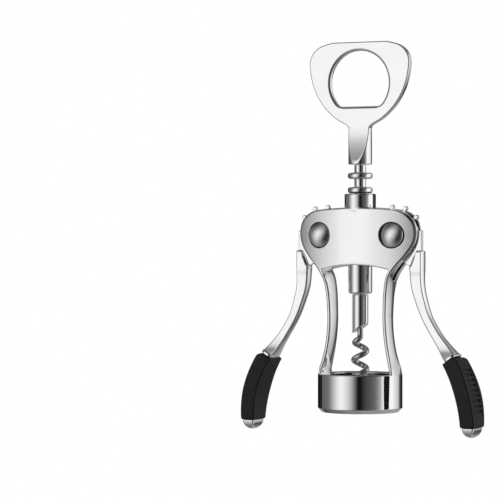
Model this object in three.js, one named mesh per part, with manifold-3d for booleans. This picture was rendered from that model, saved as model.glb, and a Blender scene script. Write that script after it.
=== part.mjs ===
// Lever (wing) corkscrew with a crown-cap opener as its handle.
// Millimetres, +Z up. The origin is on the spindle axis, in the plane of the bell's lower rim.
// X runs from lever to lever and the front face looks along -Y.
import * as THREE from 'three';
import { mergeVertices } from 'three/addons/utils/BufferGeometryUtils.js';
import Module from 'manifold-3d';

const wasm = await Module();
wasm.setup();

// ---------------------------------------------------------------- driving dimensions

const FIT_GAP = 0.3; // round a piece that is seated in another
const RUN_GAP = 0.3; // round a piece that turns or slides in another
const SEAT_GAP = 0.1; // between two flat faces that rest on each other

const ROUND_SIDES = 40;
const SMALL_SIDES = 20;
const THROUGH = 60; // longer than anything that a cut goes through
const CUT_MARGIN = 1; // how far a cut starts outside the piece that it enters

// Bell, whose stepped bore sits on the lip of the bottle
const BELL_RADIUS = 19.85;
const BELL_HEIGHT = 18;
const BELL_CHAMFER = 1.9;
const BELL_TOP_ROUNDING = 0.5;
const BELL_MOUTH_RADIUS = 15.2;
const BELL_SEAT_Z = 9.5;
const BELL_THROAT_RADIUS = 13.25;
const BELL_SIDES = 48;

// Posts
const WAIST_HALF = 15.2;
const WAIST_Z = 45;
const POST_THICKNESS = 1.6;
const POST_DEPTH = 8.8;
const POST_FOOT_DEPTH = 11.8;
const POST_FOOT_HEIGHT = 9; // where the post widens to its foot, and to the head
const POST_FOOT_FLARE = 3.25; // how strongly the foot curves out to the bell
const POST_FOOT_INSET = 0.05; // of the foot's rounded face, from the bell's
const POST_SPREAD = 0.8; // how much deeper each face of the post is at the start of the head

// Head: two cheeks with a slot between them for the gear hubs
const PIVOT_X = 18.9;
const PIVOT_Z = 82.9;
const HEAD_TOP_Z = 95.6;
const HEAD_BOTTOM_Z = 69;
const HEAD_ARCH_RISE = 1.9; // from the posts to the middle of the head's lower edge
const HEAD_DEPTH = 14.7; // at the middle, over both bowed faces
const HEAD_BOW_RADIUS = 124;
const SLOT_FLOOR_Z = 68.2; // under the teeth, where the head is closed
const SLOT_OPEN_X = 14.5; // the slot is open to the window up to here
const RUNOUT_Z = 61.5; // where the slot runs out on the post's outer face
const RUNOUT_DEPTH = 0.9;
// Right edge of the head, from below the pivot to the top, seen from the pivot
const CHEEK_LOWER_EDGE = [[-3.1, -27], [-1.4, -19.5], [2.4, -13.8], [6.7, -9.3], [10, -4.6], [11.3, 0.2]];
const CHEEK_UPPER_EDGE = [[10.5, 5.1], [8.1, 8.4], [4.4, 10.7], [0, 11.7], [-8.6, 12.4]];
const COLLAR_TOP_Z = 102.3;

// Pivot pins and their domed heads
const PIN_RADIUS = 2.4;
const DOME_RADIUS = 5.5;
const DOME_RIM = 1.1;
const DOME_HEIGHT = 3.5;
const RECESS_GROOVE = 0.65; // round the dome
const RECESS_DEPTH = 1.8;
const PIN_SOCKET_DEPTH = 1.5;

// Rack and the teeth that run in it
const GEAR_PITCH_RADIUS = 12.9;
const TOOTH_CIRCLE_RADIUS = 13.3; // through the middles of the teeth's round ends
const TOOTH_ANGLE = 30;
const TOOTH_RADIUS = 1.05;
const TOOTH_STEM = 1.5;
const TOOTH_COUNT = 7;
const FIRST_TOOTH_ANGLE = -39; // from the line towards the rack, upwards
const RACK_SAG = 0.55; // how far the rack hangs below the middle of its play on the teeth
const RACK_PITCH = GEAR_PITCH_RADIUS * THREE.MathUtils.degToRad(TOOTH_ANGLE);
const RING_COUNT = 6;
const RING_RADIUS = 5.8;
const RING_THICKNESS = 2.9;
const RING_ROUNDING = 0.6;
const RACK_CORE_RADIUS = 2.75;
const BARREL_RADIUS = 5.65;
const BARREL_TOP_Z = 70.6;
const BARREL_BOTTOM_Z = 55.4;
const BARREL_ROUNDING = 0.9;

// Screw: shaft, holder and worm
const SHAFT_RADIUS = 1.5;
const SHAFT_SOCKET_DEPTH = 8;
const HOLDER_RADIUS = 3.8;
const HOLDER_BOTTOM_Z = 36;
const HOLDER_SCARF = 5; // height of the slanted cut at the holder's end
const WORM_WIRE_RADIUS = 1.35;
const WORM_OUTER_RADIUS = 4.3;
const WORM_PITCH = 8.5;
const WORM_TIP_Z = 1.2;
const WORM_POINT_LENGTH = 7;
const WORM_SHANK_LENGTH = 9;

// Opener handle
const OPENER_THICKNESS = 3.3;
const OPENER_NECK_RADIUS = 5.55;
const OPENER_NECK_RIM = 1.1; // full-round height below the scarfs
const OPENER_SCARF_TOP_Z = 132.4;
const OPENER_HOLE_RADIUS = 15.3;
const OPENER_HOLE_Z = 154.2;
const OPENER_LIP_Z = 143.3;
const OPENER_TOP_Z = 173.5;
// Right edge of the opener plate: half-width and height
const OPENER_EDGE = [
  [5.5, 129], [5.5, 132.9], [6.8, 134.5], [12.9, 138], [19.2, 144.1], [23.8, 152.1],
  [26, 161.5], [25.2, 167.2], [21, 171.5], [14, OPENER_TOP_Z],
];

// Levers, seen from the pivot: X outwards, Z up
const HUB_THICKNESS = 2.2;
const HUB_RADIUS = 11.3;
const HUB_HEEL_X = 13.3;
const HUB_HEEL_TOP_Z = 2.2;
const SHOULDER_OUTER_Z = -7.7;
const SHOULDER_INNER = [7.8, -14.9];
// Inner edge of the arm's rounded top, from its tip down to the arm
const SHOULDER_EDGE = [[10.4, -8.1], [9, -10.6], SHOULDER_INNER];
// Middle line of the arm and its thickness there
const ARM_LINE = [[10.6, -14], [11, -23.2], [12.6, -29.8], [15.8, -38.4], [20.8, -46.6], [25.3, -52.5]];
const ARM_WIDTHS = [5.9, 5.3, 4.6, 3.8, 3.7, 4.5];
const ARM_DEPTH_TOP = 5.6;
const ARM_DEPTH_MIDDLE = 4.2;
const ARM_DEPTH_END = 10;
const ARM_MIDDLE_Z = -32;
const ARM_FLARE_HEIGHT = 6; // over the collar, where the arm starts to deepen

// Grips: each follows an arc that starts at the arm's end
const GRIP_TOP = [29.2, -57.3];
const GRIP_TOP_TILT = 33; // degrees outwards from straight down
const GRIP_END_TILT = 0;
const GRIP_BEND_RADIUS = 57;
const GRIP_THICKNESS = 7.4;
const GRIP_TOP_DEPTH = 12.4;
const GRIP_MIDDLE_DEPTH = 15;
const GRIP_END_DEPTH = 11.8;
const GRIP_CHAMFER = 1.1;
const GRIP_COLLAR_HEIGHT = 1.4;
const GRIP_COLLAR_THICKNESS = 6;
const GRIP_COLLAR_DEPTH = 10.6;
const TANG_THICKNESS = 2.6;
const TANG_DEPTH = 6.5;
const TANG_LENGTH = 10;
const END_CAP_HEIGHT = 4.9;
const END_CAP_INSET = 0.4; // from the grip's sides
const END_CAP_STUD_RADIUS = 1.5;
const END_CAP_STUD_LENGTH = 4;

// ---------------------------------------------------------------- materials

function finish(color, metalness, roughness) {
  return new THREE.MeshStandardMaterial({ color, metalness, roughness });
}

const chrome = finish(0xe3e5e8, 1, 0.08);
const satinSteel = finish(0x8d8f93, 1, 0.3);
const wormSteel = finish(0xb8babd, 1, 0.2);
const blackGrip = finish(0x1b1b1c, 0, 0.55);

// ---------------------------------------------------------------- solids

// A closed geometry as a solid that can be joined and cut.
function solid(geometry) {
  geometry.deleteAttribute('normal');
  geometry.deleteAttribute('uv');
  const merged = mergeVertices(geometry, 1e-4);
  const corners = merged.index.array;
  const triangles = [];
  for (let i = 0; i < corners.length; i += 3) {
    const [a, b, c] = corners.slice(i, i + 3);
    if (a !== b && b !== c && c !== a) triangles.push(a, b, c);
  }
  const vertProperties = new Float32Array(merged.attributes.position.array);
  const triVerts = new Uint32Array(triangles);
  return new wasm.Manifold(new wasm.Mesh({ numProp: 3, vertProperties, triVerts }));
}

function mesh(body, name, material) {
  const { vertProperties, triVerts, numProp } = body.getMesh();
  const geometry = new THREE.BufferGeometry();
  const positions = new THREE.InterleavedBuffer(vertProperties, numProp);
  geometry.setAttribute('position', new THREE.InterleavedBufferAttribute(positions, 3, 0));
  geometry.setIndex(Array.from(triVerts));
  const made = new THREE.Mesh(geometry.toNonIndexed(), material);
  made.name = name;
  return made;
}

function joined(bodies) {
  return bodies.reduce((whole, next) => whole.add(next));
}

function shapeOf(points) {
  return new THREE.Shape(points.map(([x, y]) => new THREE.Vector2(x, y)));
}

// A shape drawn in X and Z, as thick along Y as depth and centred on Y = 0.
function plate(shape, depth) {
  const settings = { depth, bevelEnabled: false, curveSegments: SMALL_SIDES };
  const geometry = new THREE.ExtrudeGeometry(shape, settings);
  geometry.translate(0, 0, -depth / 2);
  geometry.rotateX(Math.PI / 2);
  return solid(geometry);
}

// A shape drawn in Y and Z, as wide along X as width and centred on X = 0.
function sidePlate(shape, width) {
  const geometry = new THREE.ExtrudeGeometry(shape, { depth: width, bevelEnabled: false });
  geometry.translate(0, 0, -width / 2);
  geometry.rotateX(Math.PI / 2);
  geometry.rotateZ(Math.PI / 2);
  return solid(geometry);
}

// A shape drawn in X and Y that stands from bottom to top.
function column(shape, bottom, top) {
  const geometry = new THREE.ExtrudeGeometry(shape, { depth: top - bottom, bevelEnabled: false });
  geometry.translate(0, 0, bottom);
  return solid(geometry);
}

// Radius and height pairs turned round Z. The outline runs up the outside.
function turned(profile, sides = ROUND_SIDES) {
  const geometry = new THREE.LatheGeometry(profile.map(([r, z]) => new THREE.Vector2(r, z)), sides);
  geometry.rotateX(Math.PI / 2);
  return solid(geometry);
}

function rod(radius, bottom, top, sides = SMALL_SIDES) {
  return turned([[0, bottom], [radius, bottom], [radius, top], [0, top]], sides);
}

function box(width, depth, bottom, top) {
  const geometry = new THREE.BoxGeometry(width, depth, top - bottom);
  geometry.translate(0, 0, (top + bottom) / 2);
  return solid(geometry);
}

// A smooth curve through points, as a list of points.
function smooth(points, count) {
  const curve = new THREE.SplineCurve(points.map(([x, y]) => new THREE.Vector2(x, y)));
  return curve.getPoints(count).map(({ x, y }) => [x, y]);
}

// The right half of an outline, completed with its mirror image.
function bothSides(points) {
  const left = points.map(([x, z]) => [-x, z]).reverse();
  return shapeOf([...points, ...left.filter(([x]) => x < 0)]);
}

// ---------------------------------------------------------------- frame

const slotHalf = HUB_THICKNESS / 2 + RUN_GAP;
const collarRadius = HEAD_DEPTH / 2;
const boreRadius = RING_RADIUS + RUN_GAP;

function cheekHalfDepth(x) {
  return HEAD_DEPTH / 2 - HEAD_BOW_RADIUS + Math.sqrt(HEAD_BOW_RADIUS ** 2 - x ** 2);
}

// Right edge of the frame, from the foot of the post to the middle of the head's top.
function frameEdge() {
  const fromPivot = ([x, z]) => [PIVOT_X + x, PIVOT_Z + z];
  const footThird = (WAIST_Z - BELL_HEIGHT) / 3;
  const foot = new THREE.CubicBezierCurve(
    new THREE.Vector2(BELL_RADIUS, BELL_HEIGHT),
    new THREE.Vector2(BELL_RADIUS - POST_FOOT_FLARE, BELL_HEIGHT + footThird),
    new THREE.Vector2(WAIST_HALF, WAIST_Z - footThird),
    new THREE.Vector2(WAIST_HALF, WAIST_Z),
  );
  const footPoints = foot.getPoints(8).map(({ x, y }) => [x, y]);
  const middle = [0, HEAD_TOP_Z];
  const head = [...CHEEK_LOWER_EDGE, ...CHEEK_UPPER_EDGE].map(fromPivot);
  return [...footPoints.slice(0, -1), ...smooth([[WAIST_HALF, WAIST_Z], ...head, middle], 32)];
}

// The gap between the posts, under the head and over the bell.
function windowShape(edge) {
  const archZ = HEAD_BOTTOM_Z - HEAD_ARCH_RISE;
  const postEdge = edge.filter(([, z], i) => z < archZ - 1.5 && i < edge.length / 2);
  const inner = postEdge.map(([x, z]) => [x - POST_THICKNESS, z]);
  const [cornerX, cornerZ] = inner[inner.length - 1];
  const corner = [cornerX + 0.1, (cornerZ + archZ) / 2];
  const quarter = [cornerX / 2, HEAD_BOTTOM_Z - HEAD_ARCH_RISE / 4];
  const arch = [[cornerX - 0.9, archZ], quarter, [0, HEAD_BOTTOM_Z]];
  return bothSides([...inner, corner, ...arch]);
}

// The slot for the gear hubs: open below in the middle and running out on the posts' outer faces.
function slotShape(edge) {
  const right = edge.slice(0, edge.length / 2 + 1);
  const outer = right.filter(([, z]) => z > RUNOUT_Z && z < SLOT_FLOOR_Z);
  const runout = outer.map(([x, z]) => [x - RUNOUT_DEPTH, z]);
  const [lowX] = runout[0];
  const [highX] = runout[runout.length - 1];
  const lowZ = HEAD_BOTTOM_Z - HEAD_ARCH_RISE - CUT_MARGIN;
  return bothSides([
    [0, lowZ], [SLOT_OPEN_X, lowZ], [SLOT_OPEN_X, SLOT_FLOOR_Z], [highX, SLOT_FLOOR_Z],
    ...runout.reverse(), [lowX, RUNOUT_Z], [THROUGH, RUNOUT_Z], [THROUGH, THROUGH * 2], [0, THROUGH * 2],
  ]);
}

function frameBody() {
  const edge = frameEdge();
  const outline = plate(bothSides([[BELL_RADIUS - 1, BELL_HEIGHT - 1], ...edge]), THROUGH);

  const bowCount = 14;
  const reach = PIVOT_X + HUB_HEEL_X;
  const front = [];
  for (let i = 0; i <= bowCount; i += 1) {
    const x = -reach + (2 * reach * i) / bowCount;
    front.push([x, -cheekHalfDepth(x)]);
  }
  const back = front.map(([x, y]) => [x, -y]).reverse();
  const bowed = column(shapeOf([...front, ...back]), 0, HEAD_TOP_Z);

  const footHalf = POST_FOOT_DEPTH / 2;
  const postHalf = POST_DEPTH / 2;
  const postLine = smooth([
    [postHalf, BELL_HEIGHT + POST_FOOT_HEIGHT], [postHalf, WAIST_Z],
    [postHalf + POST_SPREAD, HEAD_BOTTOM_Z - POST_FOOT_HEIGHT], [collarRadius, HEAD_BOTTOM_Z],
  ], 8);
  const sideEdge = [[footHalf, 0], [footHalf, BELL_HEIGHT], ...postLine, [collarRadius, HEAD_TOP_Z]];
  const side = sidePlate(bothSides(sideEdge), THROUGH * 2);
  const overBell = joined([
    rod(BELL_RADIUS - POST_FOOT_INSET, 0, WAIST_Z, BELL_SIDES),
    box(THROUGH * 2, THROUGH, WAIST_Z - CUT_MARGIN, THROUGH * 2),
  ]);

  const bell = turned([
    [0, 0], [BELL_RADIUS - BELL_CHAMFER, 0], [BELL_RADIUS, BELL_CHAMFER],
    [BELL_RADIUS, BELL_HEIGHT - BELL_TOP_ROUNDING], [BELL_RADIUS - BELL_TOP_ROUNDING, BELL_HEIGHT],
    [0, BELL_HEIGHT],
  ], BELL_SIDES);
  const bellHollow = turned([
    [0, -CUT_MARGIN], [BELL_MOUTH_RADIUS, -CUT_MARGIN], [BELL_MOUTH_RADIUS, BELL_SEAT_Z],
    [BELL_THROAT_RADIUS, BELL_SEAT_Z], [BELL_THROAT_RADIUS, BELL_HEIGHT + CUT_MARGIN],
    [0, BELL_HEIGHT + CUT_MARGIN],
  ]);
  const collar = rod(collarRadius, HEAD_BOTTOM_Z, COLLAR_TOP_Z, ROUND_SIDES);
  const boreStart = HEAD_BOTTOM_Z - HEAD_ARCH_RISE - CUT_MARGIN;
  const bore = rod(boreRadius, boreStart, COLLAR_TOP_Z + CUT_MARGIN, ROUND_SIDES);

  let body = outline.intersect(bowed).intersect(side).intersect(overBell);
  body = body.subtract(plate(windowShape(edge), THROUGH));
  body = joined([body, collar, bell]).subtract(bore).subtract(bellHollow);
  body = body.subtract(plate(slotShape(edge), 2 * slotHalf));
  for (const sideSign of [-1, 1]) {
    body = body.subtract(pivotCuts().translate([sideSign * PIVOT_X, 0, PIVOT_Z]));
  }
  return body;
}

const recessFloorY = cheekHalfDepth(PIVOT_X) - RECESS_DEPTH;

// The pin hole and the two round recesses for the pin's domed heads, along Y.
function pivotCuts() {
  const recessRadius = DOME_RADIUS + RECESS_GROOVE;
  const holeRadius = PIN_RADIUS + FIT_GAP;
  const cuts = turned([
    [0, -THROUGH], [recessRadius, -THROUGH], [recessRadius, -recessFloorY], [holeRadius, -recessFloorY],
    [holeRadius, recessFloorY], [recessRadius, recessFloorY], [recessRadius, THROUGH], [0, THROUGH],
  ]);
  return cuts.rotate([90, 0, 0]);
}

// ---------------------------------------------------------------- pivot pins

// Domed head whose flat face is at Z = 0, seen along the pin.
function dome() {
  const points = [[0, 0], [DOME_RADIUS, 0], [DOME_RADIUS, DOME_RIM]];
  const steps = 4;
  for (let i = 1; i <= steps; i += 1) {
    const angle = (i / steps) * (Math.PI / 2);
    points.push([DOME_RADIUS * Math.cos(angle), DOME_RIM + (DOME_HEIGHT - DOME_RIM) * Math.sin(angle)]);
  }
  points[points.length - 1][0] = 0;
  return turned(points, 24);
}

const headSeat = recessFloorY + SEAT_GAP;
const pinEnd = headSeat + PIN_SOCKET_DEPTH - FIT_GAP;

// Pin with its front head, along Z with the head on top.
function pivotPin() {
  return joined([rod(PIN_RADIUS, -pinEnd, headSeat + DOME_RIM), dome().translate([0, 0, headSeat])]);
}

function pinCap() {
  const socket = rod(PIN_RADIUS + FIT_GAP, -CUT_MARGIN, PIN_SOCKET_DEPTH);
  return dome().subtract(socket);
}

// ---------------------------------------------------------------- rack and screw

const rodBoreRadius = SHAFT_RADIUS + RUN_GAP;

// The second tooth stands in the gap over the lowest ring. Ring heights are counted from there.
const secondToothRise = GEAR_PITCH_RADIUS * THREE.MathUtils.degToRad(FIRST_TOOTH_ANGLE + TOOTH_ANGLE);
const firstGapZ = PIVOT_Z + secondToothRise - RACK_SAG;
const topRingZ = firstGapZ + RACK_PITCH * (RING_COUNT - 1.5);
// The neck starts one tooth gap above the last ring.
const openerNeckZ = topRingZ + RACK_PITCH - RING_THICKNESS / 2;

function spindleRack() {
  const top = openerNeckZ - RUN_GAP;
  const outside = [
    [rodBoreRadius, BARREL_BOTTOM_Z],
    [BARREL_RADIUS - BARREL_ROUNDING, BARREL_BOTTOM_Z],
    [BARREL_RADIUS, BARREL_BOTTOM_Z + BARREL_ROUNDING],
    [BARREL_RADIUS, BARREL_TOP_Z - RING_ROUNDING],
    [BARREL_RADIUS - RING_ROUNDING, BARREL_TOP_Z],
    [RACK_CORE_RADIUS, BARREL_TOP_Z],
  ];
  for (let i = 0; i < RING_COUNT; i += 1) {
    const middle = firstGapZ + RACK_PITCH * (i - 0.5);
    const low = middle - RING_THICKNESS / 2;
    const high = middle + RING_THICKNESS / 2;
    outside.push(
      [RACK_CORE_RADIUS, low],
      [RING_RADIUS - RING_ROUNDING, low],
      [RING_RADIUS, low + RING_ROUNDING],
      [RING_RADIUS, high - RING_ROUNDING],
      [RING_RADIUS - RING_ROUNDING, high],
      [RACK_CORE_RADIUS, high],
    );
  }
  outside.push([RACK_CORE_RADIUS, top], [rodBoreRadius, top], [rodBoreRadius, BARREL_BOTTOM_Z]);
  return turned(outside, 24);
}

const holderTopZ = BARREL_BOTTOM_Z - RUN_GAP;

function screwShaft() {
  const bottom = holderTopZ - SHAFT_SOCKET_DEPTH + FIT_GAP;
  const top = openerNeckZ + SHAFT_SOCKET_DEPTH - FIT_GAP;
  return rod(SHAFT_RADIUS, bottom, top, 20);
}

function wormHolder() {
  const bevel = 0.5;
  const body = turned([
    [0, HOLDER_BOTTOM_Z], [HOLDER_RADIUS, HOLDER_BOTTOM_Z], [HOLDER_RADIUS, holderTopZ - bevel],
    [HOLDER_RADIUS - bevel, holderTopZ], [0, holderTopZ],
  ], 32);
  const shaftTop = holderTopZ + CUT_MARGIN;
  const shaftSocket = rod(SHAFT_RADIUS + FIT_GAP, holderTopZ - SHAFT_SOCKET_DEPTH, shaftTop);
  const shankTop = HOLDER_BOTTOM_Z + WORM_SHANK_LENGTH;
  const shankSocket = rod(WORM_WIRE_RADIUS + FIT_GAP, HOLDER_BOTTOM_Z - CUT_MARGIN, shankTop);
  // The end is cut on a slant, from the far side up towards +X.
  const reach = HOLDER_RADIUS + CUT_MARGIN;
  const scarf = plate(shapeOf([
    [-reach, HOLDER_BOTTOM_Z - CUT_MARGIN], [reach, HOLDER_BOTTOM_Z - CUT_MARGIN],
    [reach, HOLDER_BOTTOM_Z + HOLDER_SCARF], [-reach, HOLDER_BOTTOM_Z],
  ]), THROUGH);
  return body.subtract(shaftSocket).subtract(shankSocket).subtract(scarf);
}

// The worm's wire: a straight shank on the axis that opens into a helix and ends in a point.
function worm() {
  const top = HOLDER_BOTTOM_Z + WORM_SHANK_LENGTH - FIT_GAP;
  const helixTop = HOLDER_BOTTOM_Z;
  const easeIn = WORM_PITCH * 0.6;
  const helixRadius = WORM_OUTER_RADIUS - WORM_WIRE_RADIUS;
  const steps = 60;
  // A right-hand helix: it turns clockwise on its way down, seen from above.
  const turnAt = (z) => (-Math.max(0, helixTop - z) / WORM_PITCH) * 2 * Math.PI;
  const wire = (z) => {
    const down = Math.max(0, helixTop - z);
    const radius = helixRadius * THREE.MathUtils.smoothstep(down, 0, easeIn);
    const angle = turnAt(z);
    return new THREE.Vector3(radius * Math.cos(angle), radius * Math.sin(angle), z);
  };
  const geometry = new THREE.CylinderGeometry(1, 1, 1, 8, steps);
  const positions = geometry.attributes.position;
  for (let i = 0; i < positions.count; i += 1) {
    const z = WORM_TIP_Z + (positions.getY(i) + 0.5) * (top - WORM_TIP_Z);
    const angle = turnAt(z);
    const along = wire(z + 0.05).sub(wire(z - 0.05)).normalize();
    const outward = new THREE.Vector3(Math.cos(angle), Math.sin(angle), 0);
    outward.addScaledVector(along, -outward.dot(along)).normalize();
    const across = new THREE.Vector3().crossVectors(outward, along);
    const taper = THREE.MathUtils.clamp((z - WORM_TIP_Z) / WORM_POINT_LENGTH, 0.08, 1);
    const place = wire(z);
    place.addScaledVector(outward, positions.getX(i) * WORM_WIRE_RADIUS * taper);
    place.addScaledVector(across, positions.getZ(i) * WORM_WIRE_RADIUS * taper);
    positions.setXYZ(i, place.x, place.y, place.z);
  }
  return solid(geometry);
}

// ---------------------------------------------------------------- opener handle

function openerHandle() {
  const edge = [OPENER_EDGE[0], ...smooth(OPENER_EDGE.slice(1), 30)];
  const sheet = plate(bothSides(edge), OPENER_THICKNESS);

  const lipHeight = OPENER_HOLE_Z - OPENER_LIP_Z;
  const lipAngle = Math.asin(lipHeight / OPENER_HOLE_RADIUS);
  const hole = new THREE.Shape();
  hole.absarc(0, OPENER_HOLE_Z, OPENER_HOLE_RADIUS, -lipAngle, Math.PI + lipAngle, false);
  const eye = plate(hole, THROUGH);

  // Seen from the side, the neck narrows from its full round to the plate.
  const half = OPENER_THICKNESS / 2;
  const scarfBottom = openerNeckZ + OPENER_NECK_RIM;
  const scarfHeight = OPENER_SCARF_TOP_Z - scarfBottom;
  const narrowing = OPENER_NECK_RADIUS - half;
  const scarf = smooth([
    [OPENER_NECK_RADIUS, scarfBottom],
    [OPENER_NECK_RADIUS - narrowing * 0.41, scarfBottom + scarfHeight * 0.3],
    [half + narrowing * 0.18, scarfBottom + scarfHeight * 0.72],
    [half, OPENER_SCARF_TOP_Z],
  ], 10);
  const full = OPENER_NECK_RADIUS + CUT_MARGIN;
  const side = sidePlate(bothSides([[full, openerNeckZ], [full, scarfBottom], ...scarf]), THROUGH);
  const neck = rod(OPENER_NECK_RADIUS, openerNeckZ, OPENER_SCARF_TOP_Z, 40).intersect(side);
  const socketTop = openerNeckZ + SHAFT_SOCKET_DEPTH;
  const socket = rod(SHAFT_RADIUS + FIT_GAP, openerNeckZ - CUT_MARGIN, socketTop);
  return joined([sheet.subtract(eye), neck]).subtract(socket);
}

// ---------------------------------------------------------------- levers

// Outline of a band of changing width along a line of points.
function band(line, widths, count) {
  const path = new THREE.SplineCurve(line.map(([x, z]) => new THREE.Vector2(x, z)));
  const widthPath = new THREE.SplineCurve(widths.map((width, i) => new THREE.Vector2(i, width)));
  const near = [];
  const far = [];
  for (let i = 0; i <= count; i += 1) {
    const t = i / count;
    const point = path.getPoint(t);
    const along = path.getTangent(t);
    const half = widthPath.getPoint(t).y / 2;
    near.push([point.x + along.y * half, point.y - along.x * half]);
    far.push([point.x - along.y * half, point.y + along.x * half]);
  }
  return [...near, ...far.reverse()];
}

function gearHub() {
  const parts = [rod(HUB_RADIUS, -HUB_THICKNESS / 2, HUB_THICKNESS / 2, 40)];
  for (let i = 0; i < TOOTH_COUNT; i += 1) {
    const angle = THREE.MathUtils.degToRad(180 - FIRST_TOOTH_ANGLE - i * TOOTH_ANGLE);
    const middle = [TOOTH_CIRCLE_RADIUS * Math.cos(angle), TOOTH_CIRCLE_RADIUS * Math.sin(angle), 0];
    const ball = rod(TOOTH_RADIUS, -HUB_THICKNESS / 2, HUB_THICKNESS / 2, 16).translate(middle);
    const stemStart = HUB_RADIUS - CUT_MARGIN;
    const stemGeometry = new THREE.BoxGeometry(TOOTH_CIRCLE_RADIUS - stemStart, TOOTH_STEM, HUB_THICKNESS);
    stemGeometry.translate((TOOTH_CIRCLE_RADIUS + stemStart) / 2, 0, 0);
    stemGeometry.rotateZ(angle);
    parts.push(ball, solid(stemGeometry));
  }
  // The hub was drawn round Z: turn it so that its axis is Y and its top stays up.
  return joined(parts).rotate([90, 0, 0]);
}

const tiltTop = THREE.MathUtils.degToRad(GRIP_TOP_TILT);
const tiltEnd = THREE.MathUtils.degToRad(GRIP_END_TILT);
const bendCentre = [
  GRIP_TOP[0] - GRIP_BEND_RADIUS * Math.cos(tiltTop),
  GRIP_TOP[1] - GRIP_BEND_RADIUS * Math.sin(tiltTop),
];

// A point of the lever that lies off the grip's arc, at a tilt from straight down.
function onArc(tilt, radius) {
  return [bendCentre[0] + radius * Math.cos(tilt), bendCentre[1] + radius * Math.sin(tilt)];
}

// A body drawn round Z with the grip's top end at the origin, set in its place on the lever.
function atTilt(body, tilt) {
  const [x, z] = onArc(tilt, GRIP_BEND_RADIUS);
  return body.rotate([0, -THREE.MathUtils.radToDeg(tilt), 0]).translate([x, 0, z]);
}

// Where the arm ends on the collar, above the grip's top end.
const armSeat = GRIP_COLLAR_HEIGHT + SEAT_GAP * 2;

function tang(clearance) {
  const width = TANG_THICKNESS + 2 * clearance;
  const depth = TANG_DEPTH + 2 * clearance;
  return atTilt(box(width, depth, -TANG_LENGTH - clearance, armSeat + CUT_MARGIN), tiltTop);
}

function lever() {
  const heelBottom = SHOULDER_INNER[1];
  const heel = plate(shapeOf([
    [0, HUB_HEEL_TOP_Z], [HUB_HEEL_X, HUB_HEEL_TOP_Z], [HUB_HEEL_X, heelBottom],
    SHOULDER_INNER, [0, -HUB_RADIUS + CUT_MARGIN],
  ]), HUB_THICKNESS);

  const armEnd = onArc(tiltTop, GRIP_BEND_RADIUS);
  const seatZ = armEnd[1] + GRIP_COLLAR_HEIGHT;
  const armWidths = [...ARM_WIDTHS, GRIP_COLLAR_THICKNESS - 0.4];
  const armBand = band([...ARM_LINE, armEnd], armWidths, 18);
  const shoulder = [
    [HUB_HEEL_X, SHOULDER_OUTER_Z], ...SHOULDER_EDGE,
    [SHOULDER_INNER[0], heelBottom - CUT_MARGIN], [HUB_HEEL_X, heelBottom - CUT_MARGIN],
  ];
  const armOutline = joined([plate(shapeOf(armBand), THROUGH), plate(shapeOf(shoulder), THROUGH)]);
  const flare = (ARM_DEPTH_END - ARM_DEPTH_MIDDLE) / 10;
  const depthEdge = smooth([
    [ARM_DEPTH_END / 2 + flare, seatZ - ARM_FLARE_HEIGHT / 2], [ARM_DEPTH_END / 2, seatZ],
    [ARM_DEPTH_MIDDLE / 2 + flare, seatZ + ARM_FLARE_HEIGHT], [ARM_DEPTH_MIDDLE / 2, ARM_MIDDLE_Z],
    [ARM_DEPTH_TOP / 2, heelBottom], [ARM_DEPTH_TOP / 2, 0],
  ], 14);
  const beyondCollar = atTilt(box(THROUGH, THROUGH, -THROUGH, armSeat), tiltTop);
  const arm = armOutline.intersect(sidePlate(bothSides(depthEdge), THROUGH * 2)).subtract(beyondCollar);
  const pinHole = rod(PIN_RADIUS + RUN_GAP, -THROUGH, THROUGH).rotate([90, 0, 0]);
  return joined([gearHub(), heel, arm, tang(0)]).subtract(pinHole);
}

// Rounded oblong, thick along X and deep along Y.
function oblong(thickness, depth) {
  const radius = thickness / 2 - 0.4;
  const x = thickness / 2 - radius;
  const y = depth / 2 - radius;
  const shape = new THREE.Shape();
  shape.absarc(x, y, radius, 0, Math.PI / 2, false);
  shape.absarc(-x, y, radius, Math.PI / 2, Math.PI, false);
  shape.absarc(-x, -y, radius, Math.PI, Math.PI * 1.5, false);
  shape.absarc(x, -y, radius, Math.PI * 1.5, Math.PI * 2, false);
  return shape;
}

function gripCollar() {
  const rim = oblong(GRIP_COLLAR_THICKNESS, GRIP_COLLAR_DEPTH);
  const ring = column(rim, SEAT_GAP, SEAT_GAP + GRIP_COLLAR_HEIGHT);
  return atTilt(ring, tiltTop).subtract(tang(FIT_GAP));
}

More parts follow.
